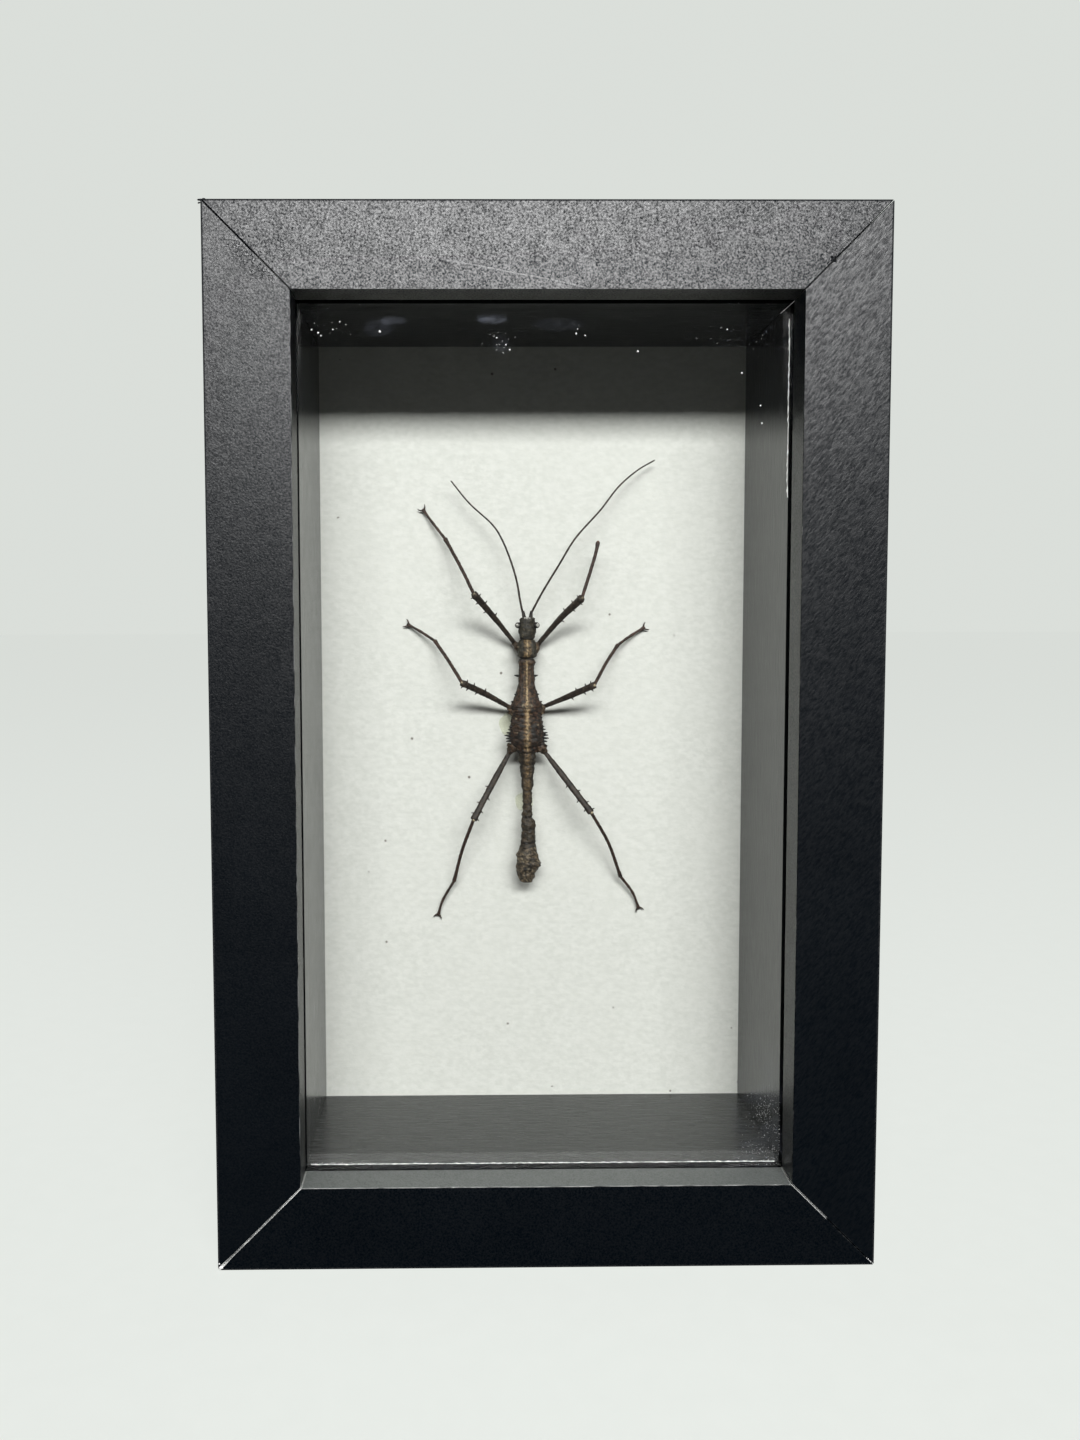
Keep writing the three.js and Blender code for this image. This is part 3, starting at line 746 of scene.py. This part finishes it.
def make_corner_damage(foil):
    """A burr of foil at the upper left corner, and pale core torn out at both lower ones."""
    front = FRONT_Y + 0.05
    burr = Builder()
    for dx, dz, size in ((-0.4, 0.25, 0.42), (0.3, 0.35, 0.3), (-0.6, -0.35, 0.26), (0.95, 0.2, 0.2)):
        centre = Vector((-HALF_WIDTH + 0.3 + dx, front + 0.2, HEIGHT - 0.3 + dz))
        burr.blob(centre, (size, size * 0.6, size * 0.55), lambda place: (0, 0, 0), 0.9, 6, 9)
    burr.piece("foil_burr_top_left", foil, "frame", "foil_wrapped_moulding")

    pale = Builder()
    for dx, dz, size in ((0.4, 0.75, 0.42), (0.75, 0.5, 0.34), (0.2, 1.3, 0.26), (1.1, 0.95, 0.2)):
        centre = Vector((-HALF_WIDTH + dx + 0.1, front + 0.12, dz))
        pale.blob(centre, (size, 0.2, size * 0.9), chalk, 0.9, 6, 9)
    for _ in range(CORNER_FIBRES):
        start = Vector((HALF_WIDTH - rng.uniform(0.2, 1.5), front + 0.02, rng.uniform(0.2, 1.4)))
        lean = Vector((rng.uniform(-0.9, 0.5), rng.uniform(-0.06, 0.02), rng.uniform(-0.1, 0.8)))
        bow = Vector((rng.uniform(-0.2, 0.2), 0, rng.uniform(-0.2, 0.2)))
        path = smooth_path([start, start + lean * 0.5 + bow, start + lean], 0.12)
        pale.tube(path, lambda share, angle, place: 0.05 * (1 - 0.6 * share), 5, chalk)
    pale.piece("bare_core_lower_corners", glowing_dust_material(), "frame", "foil_wrapped_moulding")


# The insect

INSECT_BODY = "back"
DARK = (0.012, 0.010, 0.008)
OLIVE = (0.040, 0.035, 0.023)
PURPLE = (0.052, 0.026, 0.019)
BROWN = (0.080, 0.046, 0.024)
GOLD = (0.29, 0.180, 0.078)
PALE = (0.36, 0.30, 0.20)
KEEL = (0.40, 0.29, 0.16)
WHITE = (0.80, 0.78, 0.72)
TIP_BROWN = (0.115, 0.085, 0.055)
LEG_DARK = (0.024, 0.019, 0.016)
LEG_RED = (0.060, 0.030, 0.021)
BODY_HEIGHT = 6.5
FLATNESS = 0.75
RING_STEP = 0.16
RING_SIDES = 44

# Rows of z, middle x and half width
HEAD = [(127.7, -1.75, 1.62), (128.6, -1.72, 1.80), (129.6, -1.70, 2.02), (131.2, -1.72, 1.86),
        (132.2, -1.70, 1.72), (132.8, -1.68, 1.55)]
PROTHORAX = [(123.4, -1.75, 1.85), (124.3, -1.75, 2.25), (125.7, -1.75, 2.25), (126.8, -1.78, 2.0),
             (127.7, -1.75, 1.72)]
MESOTHORAX = [(111.9, -1.85, 3.70), (112.5, -1.9, 3.62), (113.8, -1.9, 3.05), (115.2, -1.9, 2.45),
              (116.5, -1.85, 2.05), (117.8, -1.85, 1.92), (119.3, -1.85, 1.78), (121.8, -1.85, 1.76),
              (122.5, -1.85, 1.96), (123.3, -1.85, 1.88)]
METATHORAX = [(101.4, -1.75, 2.2), (102.6, -1.8, 2.6), (103.6, -1.8, 3.50), (104.6, -1.8, 3.85),
              (105.8, -1.85, 3.95), (107.1, -1.85, 3.70), (108.4, -1.85, 3.55), (109.8, -1.85, 3.35),
              (111.1, -1.85, 3.55), (112.1, -1.85, 3.60)]
ABDOMEN = [(71.0, -1.85, 1.10), (71.5, -1.9, 1.50), (72.2, -1.9, 1.80), (73.2, -1.95, 2.10),
           (74.3, -1.75, 2.35), (75.4, -1.45, 2.55), (76.5, -1.5, 2.50), (77.5, -1.6, 2.42),
           (78.3, -1.6, 2.15), (79.3, -1.55, 1.85), (80.2, -1.5, 1.72), (82.3, -1.45, 1.55),
           (84.9, -1.5, 1.50), (86.2, -1.75, 1.20), (89.0, -1.7, 1.10), (91.4, -1.65, 1.05),
           (92.9, -1.7, 1.18), (95.1, -1.7, 1.41), (97.8, -1.7, 1.67), (99.9, -1.7, 1.92),
           (101.8, -1.75, 2.0)]


def above_card(x, height, z):
    return Vector((x, CARD_Y - height, z))


def body_rings(stations, relief, feature):
    """Rings up a body segment. feature(z, across, front) adds to the radius, in millimetres."""
    low, high = min(stations)[0], max(stations)[0]
    count = round((high - low) / RING_STEP)
    rings = []
    for k in range(count + 1):
        z = low + (high - low) * k / count
        middle, half = between(stations, z)
        close = min(k, count - k) * RING_STEP
        half *= min(1, 0.86 + 0.4 * math.sqrt(close))
        ring = []
        for angle in turns(RING_SIDES):
            across, front = math.cos(angle), math.sin(angle)
            place = Vector((across * half, front * half, z))
            rough = noise.fractal(place * 1.1, 0.8, 2.1, 4) * relief + feature(z, across, front)
            reach = half + rough
            ring.append(above_card(middle + across * reach, BODY_HEIGHT + front * reach * FLATNESS, z))
        rings.append(ring)
    return rings


def bulge(value, centre, width):
    """A smooth bump of height 1 round centre."""
    return math.exp(-(((value - centre) / width) ** 2))


def on_top(place, stations):
    """How far sideways a point is from the body's middle, and whether it faces the front."""
    middle, half = between(stations, place.z)
    return abs(place.x - middle), (CARD_Y - BODY_HEIGHT - place.y) / (half * FLATNESS)


def speckle(place, size):
    return noise.noise(place * (1 / size)) * 0.5 + 0.5


def head_tint(place):
    side, front = on_top(place, HEAD)
    return painted(
        mixed(DARK, OLIVE, 0.3 + 0.9 * speckle(place, 0.45)),
        (PALE, 0.35 * (speckle(place, 0.3) > 0.78)),
        (WHITE, bulge(place.z, 132.75, 0.22) * (side < 0.75) * (front > 0)),
        (DARK, 0.9 * bulge(place.z, 127.9, 0.35)),
    )


def prothorax_tint(place):
    side, front = on_top(place, PROTHORAX)
    panel = (side < 0.85 + 0.3 * (speckle(place, 1.2) - 0.5)) * (front > 0.3)
    return painted(
        mixed(DARK, OLIVE, 0.4 + 0.9 * speckle(place, 0.5)),
        (GOLD, (0.22 + 0.25 * speckle(place, 0.4)) * panel),
        (GOLD, 0.8 * bulge(place.z, 127.2, 0.3) * panel),
        (KEEL, 0.8 * bulge(side, 0, 0.17) * (front > 0)),
        (DARK, 0.75 * bulge(side, 1.0, 0.14) * (front > 0)),
        (DARK, bulge(place.z, 123.5, 0.22) + bulge(place.z, 127.8, 0.15)),
    )


def mesothorax_tint(place):
    side, front = on_top(place, MESOTHORAX)
    panel = (side < 0.85) * (front > 0.2) * (0.3 + 0.6 * (speckle(place, 0.35) > 0.45))
    return painted(
        mixed(PURPLE, BROWN, speckle(place, 0.8)),
        (DARK, 0.8 * (speckle(place, 0.4) > 0.52)),
        (GOLD, panel * 0.28),
        (KEEL, 0.9 * bulge(side, 0, 0.13) * (front > 0)),
        (DARK, 0.8 * bulge(side, 0.95, 0.14) * (front > 0)),
        (PALE, 0.7 * bulge(place.z, 112.6, 0.3) * bulge(side, 0.9, 0.25) * (front > 0)),
        (DARK, bulge(place.z, 123.2, 0.25)),
    )


def metathorax_tint(place):
    side, front = on_top(place, METATHORAX)
    hollow = bulge(side, 1.75, 0.55) * bulge(place.z, 105.4, 1.5)
    bars = 0.5 + 0.5 * math.sin(place.z * 7.5)
    fleck = (speckle(place + Vector((7, 0, 0)), 0.3) > 0.78) * (side > 2)
    return painted(
        mixed(PURPLE, BROWN, speckle(place, 0.9)),
        (DARK, 0.9 * (speckle(place, 0.45) > 0.5)),
        (DARK, hollow * (front > 0)),
        (GOLD, (0.12 + 0.3 * bars) * (side < 0.95) * (front > 0.2)),
        (KEEL, (0.6 + 0.4 * bars) * bulge(side, 0, 0.14) * (front > 0)),
        (DARK, 0.85 * bulge(side, 1.05, 0.16) * (front > 0)),
        (PALE, 0.6 * fleck),
        (DARK, 0.8 * bulge(place.z, 101.6, 0.2) + 0.5 * bulge(place.z, 112.0, 0.15)),
    )


SEGMENT_LENGTH = 3.05
TIP_START = 79.4


def tip_folds(x, z):
    """Signed height of the crumpled tail tip at a point. Creases run where it is near zero."""
    return noise.noise(Vector((x * 0.75, 4.2, z * 0.5)))


def abdomen_tint(place):
    side, front = on_top(place, ABDOMEN)
    golden = held((place.z - 87) / 8)
    marks = 0.35 + 0.65 * abs(math.sin(place.z * 3.1)) * (speckle(place, 0.5) > 0.35)
    phase = ((101.6 - place.z + 0.3 * side) / SEGMENT_LENGTH) % 1
    ring = bulge(min(phase, 1 - phase), 0, 0.07)
    tint = painted(
        mixed(mixed(DARK, BROWN, 0.45), OLIVE, speckle(place, 0.5)),
        (GOLD, 0.45 * golden * marks * (front > 0) * bulge(side, 0, 0.7)),
        (DARK, 0.8 * (front > 0) * bulge(side, 1.3, 0.3) * golden),
        (DARK, 0.85 * ring * (place.z > TIP_START)),
    )
    if place.z >= TIP_START:
        return tint
    fold = tip_folds(place.x, place.z)
    return painted(
        tint,
        (TIP_BROWN, 0.75 * (speckle(place, 0.7) > 0.45)),
        # Painted shade darkens the creases, and a painted highlight runs along each side of them.
        (DARK, 0.95 * bulge(fold, 0, 0.07)),
        (PALE, 0.5 * bulge(abs(fold), 0.16, 0.03)),
    )


def plain_feature(z, across, front):
    return 0.0


def prothorax_feature(z, across, front):
    shoulders = 0.16 * bulge(abs(across), 0.62, 0.16) * bulge(z, 126.2, 0.8) * (front > 0)
    return shoulders - 0.14 * bulge(abs(across), 0.45, 0.09) * (front > 0)


def mesothorax_feature(z, across, front):
    keel = 0.16 * bulge(across, 0, 0.12) * (front > 0)
    tubercles = 0.22 * bulge(abs(across), 0.72, 0.14) * (bulge(z, 122.1, 0.5) + bulge(z, 117.0, 0.7))
    return keel + tubercles


def metathorax_feature(z, across, front):
    keel = 0.18 * bulge(across, 0, 0.1) * (front > 0)
    ridges = 0.28 * bulge(abs(across), 0.5, 0.1) * (0.5 + 0.5 * math.sin(z * 3.4)) * (front > 0)
    return keel + ridges


def abdomen_feature(z, across, front):
    phase = ((101.6 - z) / SEGMENT_LENGTH) % 1
    joints = 0.13 * bulge(min(phase, 1 - phase), 0, 0.12) * (z > TIP_START - 3)
    keel = 0.10 * bulge(across, 0, 0.16) * (front > 0)
    right_lump = 0.18 * bulge(across, 1, 0.5) * bulge(z, 84.4, 1.6)
    left_lobe = 0.25 * bulge(across, -0.9, 0.4) * bulge(z, 77.4, 0.5)
    right_lobe = 0.4 * bulge(across, 0.95, 0.35) * bulge(z, 75.2, 0.7)
    middle, half = between(ABDOMEN, z)
    folds = tip_folds(middle + across * half, z)
    wrinkles = 0.9 * min(0.3, abs(folds)) * bulge(z, 74.0, 4.5) * (0.5 + 0.5 * front)
    return keel - joints + right_lump + left_lobe + right_lobe + wrinkles


def eyes(builder):
    """Two round eyes with a dark rim and a painted highlight in the middle, standing proud of the head.
    """
    middle = between(HEAD, 131)[0]
    for side in (-1, 1):
        centre = above_card(middle + side * 2.05, BODY_HEIGHT + 0.45, 131.0)

        def tint(place, centre=centre, side=side):
            # Painted highlight: white where the eye faces forward and a little outward.
            facing_highlight = Vector((side * 0.45, -0.85, 0.1)).dot((place - centre).normalized())
            return mixed(DARK, WHITE, (facing_highlight - 0.80) * 9)

        builder.blob(centre, (0.80, 0.74, 0.72), tint, roughness=0.02, rings=16, sides=24)


def scapes(builder):
    """The thick first joints of the antennae."""
    for base_x, base_z, tip_x, tip_z in ((-2.35, 132.5, -2.75, 134.3), (-0.95, 132.5, -0.75, 134.3)):
        base = above_card(base_x, BODY_HEIGHT + 0.1, base_z)
        tip = above_card(tip_x, BODY_HEIGHT + 0.2, tip_z)
        path = [base.lerp(tip, k / 6) for k in range(7)]
        builder.tube(path, lambda share, angle, place: 0.50 - 0.18 * share, 10, lambda place: LEG_DARK)


def flank_spines(builder, stations, rows):
    """Pairs of spines that stand out sideways. Rows are z, length and how far up they tip."""
    for z, length, lift in rows:
        middle, half = between(stations, z)
        for side in (-1, 1):
            reach = length * rng.uniform(0.85, 1.15)
            height = BODY_HEIGHT + rng.uniform(-0.3, 0.5)
            base = above_card(middle + side * (half - 0.35), height, z + rng.uniform(-0.12, 0.12))
            tip = above_card(middle + side * (half + reach), height + 0.35, z + lift)
            builder.spine(base, tip, 0.42, lambda place: DARK)


def coxae(builder, rows):
    """Knobbly leg sockets, from the flank down to a hip. Rows are flank and hip as x, height above
    the card and z, and the radius at the flank."""
    def tint(place):
        dark = mixed(DARK, BROWN, 0.3 + speckle(place, 0.5))
        return mixed(dark, PALE, 0.55 * (speckle(place, 0.25) > 0.70))

    for flank, hip, radius in rows:
        start, end = above_card(*flank), above_card(*hip)
        path = [start.lerp(end, k / 10) for k in range(11)]

        def lumpy(share, angle, place, radius=radius):
            return radius * (1 - 0.35 * share) * (1 + 0.5 * noise.noise(place * 1.3))

        builder.tube(path, lumpy, 16, tint)
        builder.blob(start, (radius * 1.1, radius, radius * 1.05), tint, 0.7, 12, 20)


# Each segment's rows, relief, feature and tint
SEGMENTS = {
    "head": (HEAD, 0.22, plain_feature, head_tint),
    "prothorax": (PROTHORAX, 0.22, prothorax_feature, prothorax_tint),
    "mesothorax": (MESOTHORAX, 0.24, mesothorax_feature, mesothorax_tint),
    "metathorax": (METATHORAX, 0.5, metathorax_feature, metathorax_tint),
    "abdomen": (ABDOMEN, 0.26, abdomen_feature, abdomen_tint),
}
SPINES = {
    "mesothorax": [(119.3, 0.95, 0.15), (114.9, 0.3, 0.2), (113.2, 0.3, 0.2)],
    "metathorax": [
        (109.6, 0.25, 0.1), (108.7, 0.3, 0.1), (107.5, 0.4, 0.1), (106.8, 0.6, 0.15), (106.0, 0.85, 0.2),
        (105.4, 1.15, 0.15), (104.8, 1.15, 0.0), (104.2, 0.95, -0.1), (103.6, 0.6, -0.2),
    ],
}
SOCKETS = {
    "prothorax": [
        ((-3.4, 6.2, 125.7), (-4.3, 2.5, 126.6), 1.0),
        ((-0.1, 6.2, 125.6), (1.0, 2.5, 126.4), 1.0),
    ],
    "metathorax": [
        ((-5.0, 6.4, 111.2), (-5.7, 3.3, 111.8), 0.95),
        ((1.3, 6.4, 111.2), (2.2, 3.3, 111.8), 0.95),
        ((-4.9, 6.4, 102.7), (-5.6, 4.8, 101.5), 1.15),
        ((1.4, 6.4, 102.7), (2.4, 4.8, 101.5), 1.15),
    ],
}


def make_body(material):
    for name, (stations, relief, feature, tint) in SEGMENTS.items():
        builder = Builder()
        builder.loft(body_rings(stations, relief, feature), tint)
        if name == "head":
            eyes(builder)
            scapes(builder)
        flank_spines(builder, stations, SPINES.get(name, ()))
        coxae(builder, SOCKETS.get(name, ()))
        builder.piece(f"insect_{name}_shell", material, INSECT_BODY, "insect_body", f"insect_{name}")


# Points of a leg as x, height above the card and z: hip, thigh, knee, shin, ankle, foot, claw
LEGS = {
    "front_left": [(-4.2, 2.4, 126.6), (-9.4, 7.6, 132.8), (-14.1, 12.4, 138.0), (-16.9, 8.5, 144.0),
                   (-20.6, 3.5, 151.1), (-23.4, 2.0, 154.8), (-25.7, 1.0, 158.0)],
    "front_right": [(1.0, 2.4, 126.4), (5.6, 7.6, 132.3), (10.2, 12.4, 137.1), (12.3, 10.0, 142.9),
                    (13.8, 8.0, 147.2), (14.5, 7.0, 149.9)],
    "middle_left": [(-5.7, 3.2, 111.8), (-11.4, 7.8, 115.2), (-16.8, 12.0, 118.0), (-20.0, 7.5, 123.0),
                    (-23.1, 3.5, 127.4), (-26.5, 2.0, 129.6), (-29.4, 1.0, 131.2)],
    "middle_right": [(2.2, 3.2, 111.8), (8.0, 7.8, 114.7), (13.1, 12.0, 117.4), (16.5, 7.5, 122.4),
                     (19.7, 3.5, 126.3), (23.0, 2.0, 128.5), (26.2, 1.0, 130.3)],
    "hind_left": [(-5.6, 4.8, 101.5), (-10.1, 8.6, 94.1), (-14.3, 11.5, 86.7), (-16.9, 7.0, 78.7),
                  (-18.8, 3.0, 70.5), (-21.5, 1.8, 65.6), (-22.6, 1.0, 61.9)],
    "hind_right": [(2.4, 4.8, 101.5), (7.4, 8.6, 95.0), (12.6, 11.5, 88.2), (17.2, 7.0, 80.3),
                   (20.7, 3.0, 71.4), (23.8, 1.8, 67.2), (25.4, 1.0, 63.3)],
}


def femur_tint(place):
    tint = mixed(LEG_DARK, BROWN, 0.35 * speckle(place, 0.6))
    return mixed(tint, PALE, 0.22 * (speckle(place, 0.3) > 0.8))


def tibia_tint(place):
    return mixed(LEG_DARK, LEG_RED, 0.35 + 0.65 * speckle(place, 1.6))


# How far along the thigh it reaches its full thickness
THICK_FROM = {"front": 0.85, "middle": 0.6, "hind": 0.35}


def thigh_radius(thick_from):
    """Thicker towards the knee, with four ridges."""
    def radius(share, angle, place):
        swell = 0.50 + 0.27 * min(1, share / thick_from)
        knob = 1 + 0.14 * bulge(share, 0.97, 0.03)
        return swell * knob * (1 + 0.13 * math.cos(4 * angle)) + 0.12 * noise.noise(place * 2.2)

    return radius


def tibia_radius(share, angle, place):
    swell = 0.40 + 0.12 * bulge(share, 1.0, 0.07)
    return swell * (1 + 0.08 * math.cos(4 * angle)) + 0.08 * noise.noise(place * 2.4)


def make_femur(name, points, material):
    path = smooth_path(points[:3], 0.2)
    builder = Builder()
    builder.tube(path, thigh_radius(THICK_FROM[name.split("_")[0]]), 12, femur_tint)
    for share, side in ((0.55, -1), (0.68, 1), (0.78, -1), (0.86, 1), (0.93, -1), (0.97, 1)):
        base = path[int(share * (len(path) - 1))]
        along = (points[2] - points[1]).normalized()
        out = along.cross(Vector((0, 1, 0))).normalized() * side
        builder.spine(base + out * 0.5, base + out * 1.25 + along * 0.25, 0.24, femur_tint, sides=5)
    builder.blob(path[0], (0.58, 0.6, 0.58), femur_tint, 0.4)
    builder.piece(f"insect_{name}_thigh", material, INSECT_BODY, "insect_legs", f"insect_{name}_femur")


def make_claws(builder, tip, along):
    """Two hooked claws and the pad between them."""
    sideways = along.cross(Vector((0, 1, 0))).normalized()
    for side in (-1, 1):
        path = [
            tip + along * (0.36 * k) + sideways * (side * (0.12 + 0.55 * k - 0.09 * k * k))
            for k in range(4)
        ]
        builder.tube(path, lambda share, angle, place: 0.24 * (1 - 0.7 * share), 7, tibia_tint)
    builder.blob(tip + along * 0.2, (0.26, 0.2, 0.26), tibia_tint, 0.2, 6, 10)


def make_tibia(name, points, material):
    has_foot = len(points) == 7
    shin = smooth_path(points[2:5] if has_foot else points[2:], 0.2)[1:]
    builder = Builder()
    builder.tube(shin, tibia_radius, 10, tibia_tint)
    builder.blob(points[2] - Vector((0, 0.45, 0)), (0.34, 0.3, 0.34), lambda place: PALE, 0.3, 6, 10)
    if has_foot:
        foot = smooth_path(points[4:], 0.12)

        def foot_radius(share, angle, place):
            beads = 0.07 * abs(math.sin(math.pi * 4.5 * min(share, 0.66)))
            return 0.28 + beads + 0.12 * bulge(share, 1, 0.1)

        builder.tube(foot, foot_radius, 10, tibia_tint)
        make_claws(builder, foot[-1], (foot[-1] - foot[-4]).normalized())
    else:
        builder.blob(shin[-1], (0.44, 0.42, 0.5), lambda place: (0.14, 0.055, 0.022), 0.3)
    builder.piece(f"insect_{name}_shin", material, INSECT_BODY, "insect_legs", f"insect_{name}_tibia")


ANTENNAE = {
    "left": [(-2.8, 6.4, 134.0), (-3.4, 6.9, 136.8), (-4.2, 7.2, 141.2), (-5.6, 7.0, 145.9),
             (-7.5, 6.6, 150.6), (-9.8, 6.2, 154.2), (-15.0, 5.4, 159.1), (-19.2, 4.6, 164.3)],
    "right": [(-0.7, 6.6, 134.0), (1.8, 8.0, 138.8), (5.4, 9.0, 144.8), (9.1, 9.5, 150.8),
              (14.8, 8.0, 157.1), (19.3, 6.0, 162.7), (23.9, 4.0, 166.7), (28.2, 2.5, 169.3)],
}


def antenna_radius(share, angle, place):
    joints = 0.02 * abs(math.sin(share * 60))
    return 0.24 - 0.09 * share + joints


def make_antennae(material):
    for side, points in ANTENNAE.items():
        builder = Builder()
        path = smooth_path([above_card(*p) for p in points], 0.2)
        builder.tube(path, antenna_radius, 8, lambda place: mixed(LEG_DARK, LEG_RED, 0.35))
        builder.piece(
            f"insect_feeler_{side}", material, INSECT_BODY, "insect_legs", f"insect_antenna_{side}"
        )


# Middle x and z, radius and height of each dot of glue
GLUE_DOTS = {"upper": (-4.7, 107.6, 3.1, 3.4), "lower": (-2.1, 88.9, 2.1, 4.6)}
GLUE_RINGS = 15
GLUE_SIDES = 40


def make_glue(material):
    """Domes of glue with an uneven foot, pressed up against the insect."""
    for name, (x, z, radius, height) in GLUE_DOTS.items():
        rings = []
        for r in range(GLUE_RINGS):
            polar = math.pi / 2 * r / GLUE_RINGS
            ring = []
            for angle in turns(GLUE_SIDES):
                out = Vector((math.cos(angle), 0, math.sin(angle)))
                uneven = 1 + 0.22 * noise.noise(Vector((out.x * 1.2, x, out.z * 1.2)))
                flat = out * radius * uneven * math.cos(polar)
                lift = 0.1 + height * math.sin(polar)
                ring.append(above_card(x + flat.x, lift, z + flat.z))
            rings.append(ring)
        builder = Builder()
        builder.loft(rings, chalk)
        blob = builder.piece(f"glue_blob_{name}", material, INSECT_BODY, "clear_glue", f"glue_dot_{name}")
        blob.visible_shadow = False


def make_insect():
    body = tinted_material("insect_body", 0.10, 0.45, 0.75)
    legs = tinted_material("insect_legs", 0.05, 0.5, 0.75)
    make_body(body)
    for name, points in LEGS.items():
        placed = [above_card(*p) for p in points]
        make_femur(name, placed, legs)
        make_tibia(name, placed, legs)
    make_antennae(legs)
    make_glue(glue_material())


# Studio

KEY_PLACE_M = Vector((0.04, -0.98, 0.630))
KEY_HEIGHT_M = 0.16
# Widths and watts of the two strips that make the key: a bright middle and a wide surround
KEY_STRIPS = {"middle": (0.42, 5.5), "surround": (0.98, 11.7)}
FILL_SIZE_M = 0.5
FILL_WATTS = 9
BACKDROP = (0.705, 0.735, 0.70)
AMBIENT = 0.035


def area_light(name, place, width, height, watts, target):
    data = bpy.data.lights.new(name, "AREA")
    data.shape = "RECTANGLE"
    data.size = width
    data.size_y = height
    data.energy = watts
    light = add_object(name, data)
    light.location = place
    light.rotation_euler = (target - place).to_track_quat("-Z", "Y").to_euler()
    light.visible_camera = False
    return light


def leave_unlit(light, thing):
    """Keeps one light off one object."""
    unlit = bpy.data.collections.new(f"not_lit_by_{light.name}")
    unlit.objects.link(thing)
    light.light_linking.receiver_collection = unlit
    unlit.collection_objects[0].light_linking.link_state = "EXCLUDE"


def make_lights(floor):
    middle = Vector((0, 0, HEIGHT / 2 * MM))
    for name, (width, watts) in KEY_STRIPS.items():
        key = area_light(f"key_{name}", KEY_PLACE_M, width, KEY_HEIGHT_M, watts, middle)
        leave_unlit(key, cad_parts["glass_pane"])
    for name, x in (("fill_left", -0.8), ("fill_right", 0.8)):
        place = Vector((x, 0.6, 0.6))
        fill = area_light(name, place, FILL_SIZE_M, FILL_SIZE_M, FILL_WATTS, middle)
        leave_unlit(fill, floor)


def make_world():
    """Pale where the camera looks past the object, and dim as a light."""
    world = bpy.data.worlds.new("studio")
    world.use_nodes = True
    scene.world = world
    nodes, links = world.node_tree.nodes, world.node_tree.links
    seen = nodes["Background"]
    seen.inputs["Color"].default_value = (*BACKDROP, 1)
    seen.inputs["Strength"].default_value = 1
    lit = nodes.new("ShaderNodeBackground")
    lit.inputs["Color"].default_value = (1, 1, 0.98, 1)
    lit.inputs["Strength"].default_value = AMBIENT
    rays = nodes.new("ShaderNodeLightPath")
    mix = nodes.new("ShaderNodeMixShader")
    links.new(rays.outputs["Is Camera Ray"], mix.inputs[0])
    links.new(lit.outputs[0], mix.inputs[1])
    links.new(seen.outputs[0], mix.inputs[2])
    links.new(mix.outputs[0], nodes["World Output"].inputs["Surface"])


def make_floor():
    """A pale floor that the object stands on."""
    reach = 20000
    corners = [(-reach, -reach, 0), (reach, -reach, 0), (reach, reach, 0), (-reach, reach, 0)]
    data = bpy.data.meshes.new("floor")
    data.from_pydata([Vector(c) * MM for c in corners], [], [(0, 1, 2, 3)])
    floor = add_object("floor", data)
    s = Shader("floor")
    tone = s.noise(6, 3)
    data.materials.append(s.finish(
        s.colours(tone, (0.12, 0.125, 0.12), (0.15, 0.155, 0.15)),
        s.spread(tone, 0.8, 0.95),
        Emission_Color=BACKDROP,
        Emission_Strength=0.97,
    ))
    floor.visible_diffuse = False
    floor.visible_glossy = False
    return floor


# The photo's camera, worked out from the lip and the card. The turn is in degrees.
CAMERA_PLACE_M = (-0.0179, -0.2240, 0.1307)
CAMERA_TURN = (86.855, 0.163, -0.536)
CAMERA_LENS = 25.525
CAMERA_SHIFT = (0.0509, -0.0258)


def make_camera():
    data = bpy.data.cameras.new("camera")
    data.sensor_width = 36
    data.lens = CAMERA_LENS
    data.shift_x, data.shift_y = CAMERA_SHIFT
    data.clip_start = 0.01
    camera = add_object("camera", data)
    camera.location = CAMERA_PLACE_M
    camera.rotation_euler = [math.radians(a) for a in CAMERA_TURN]
    scene.camera = camera


foil = foil_material()
dress_frame(foil)
make_grime()
make_dust()
make_corner_damage(foil)
make_insect()
make_world()
make_lights(make_floor())
make_camera()
scene.view_settings.view_transform = "Standard"
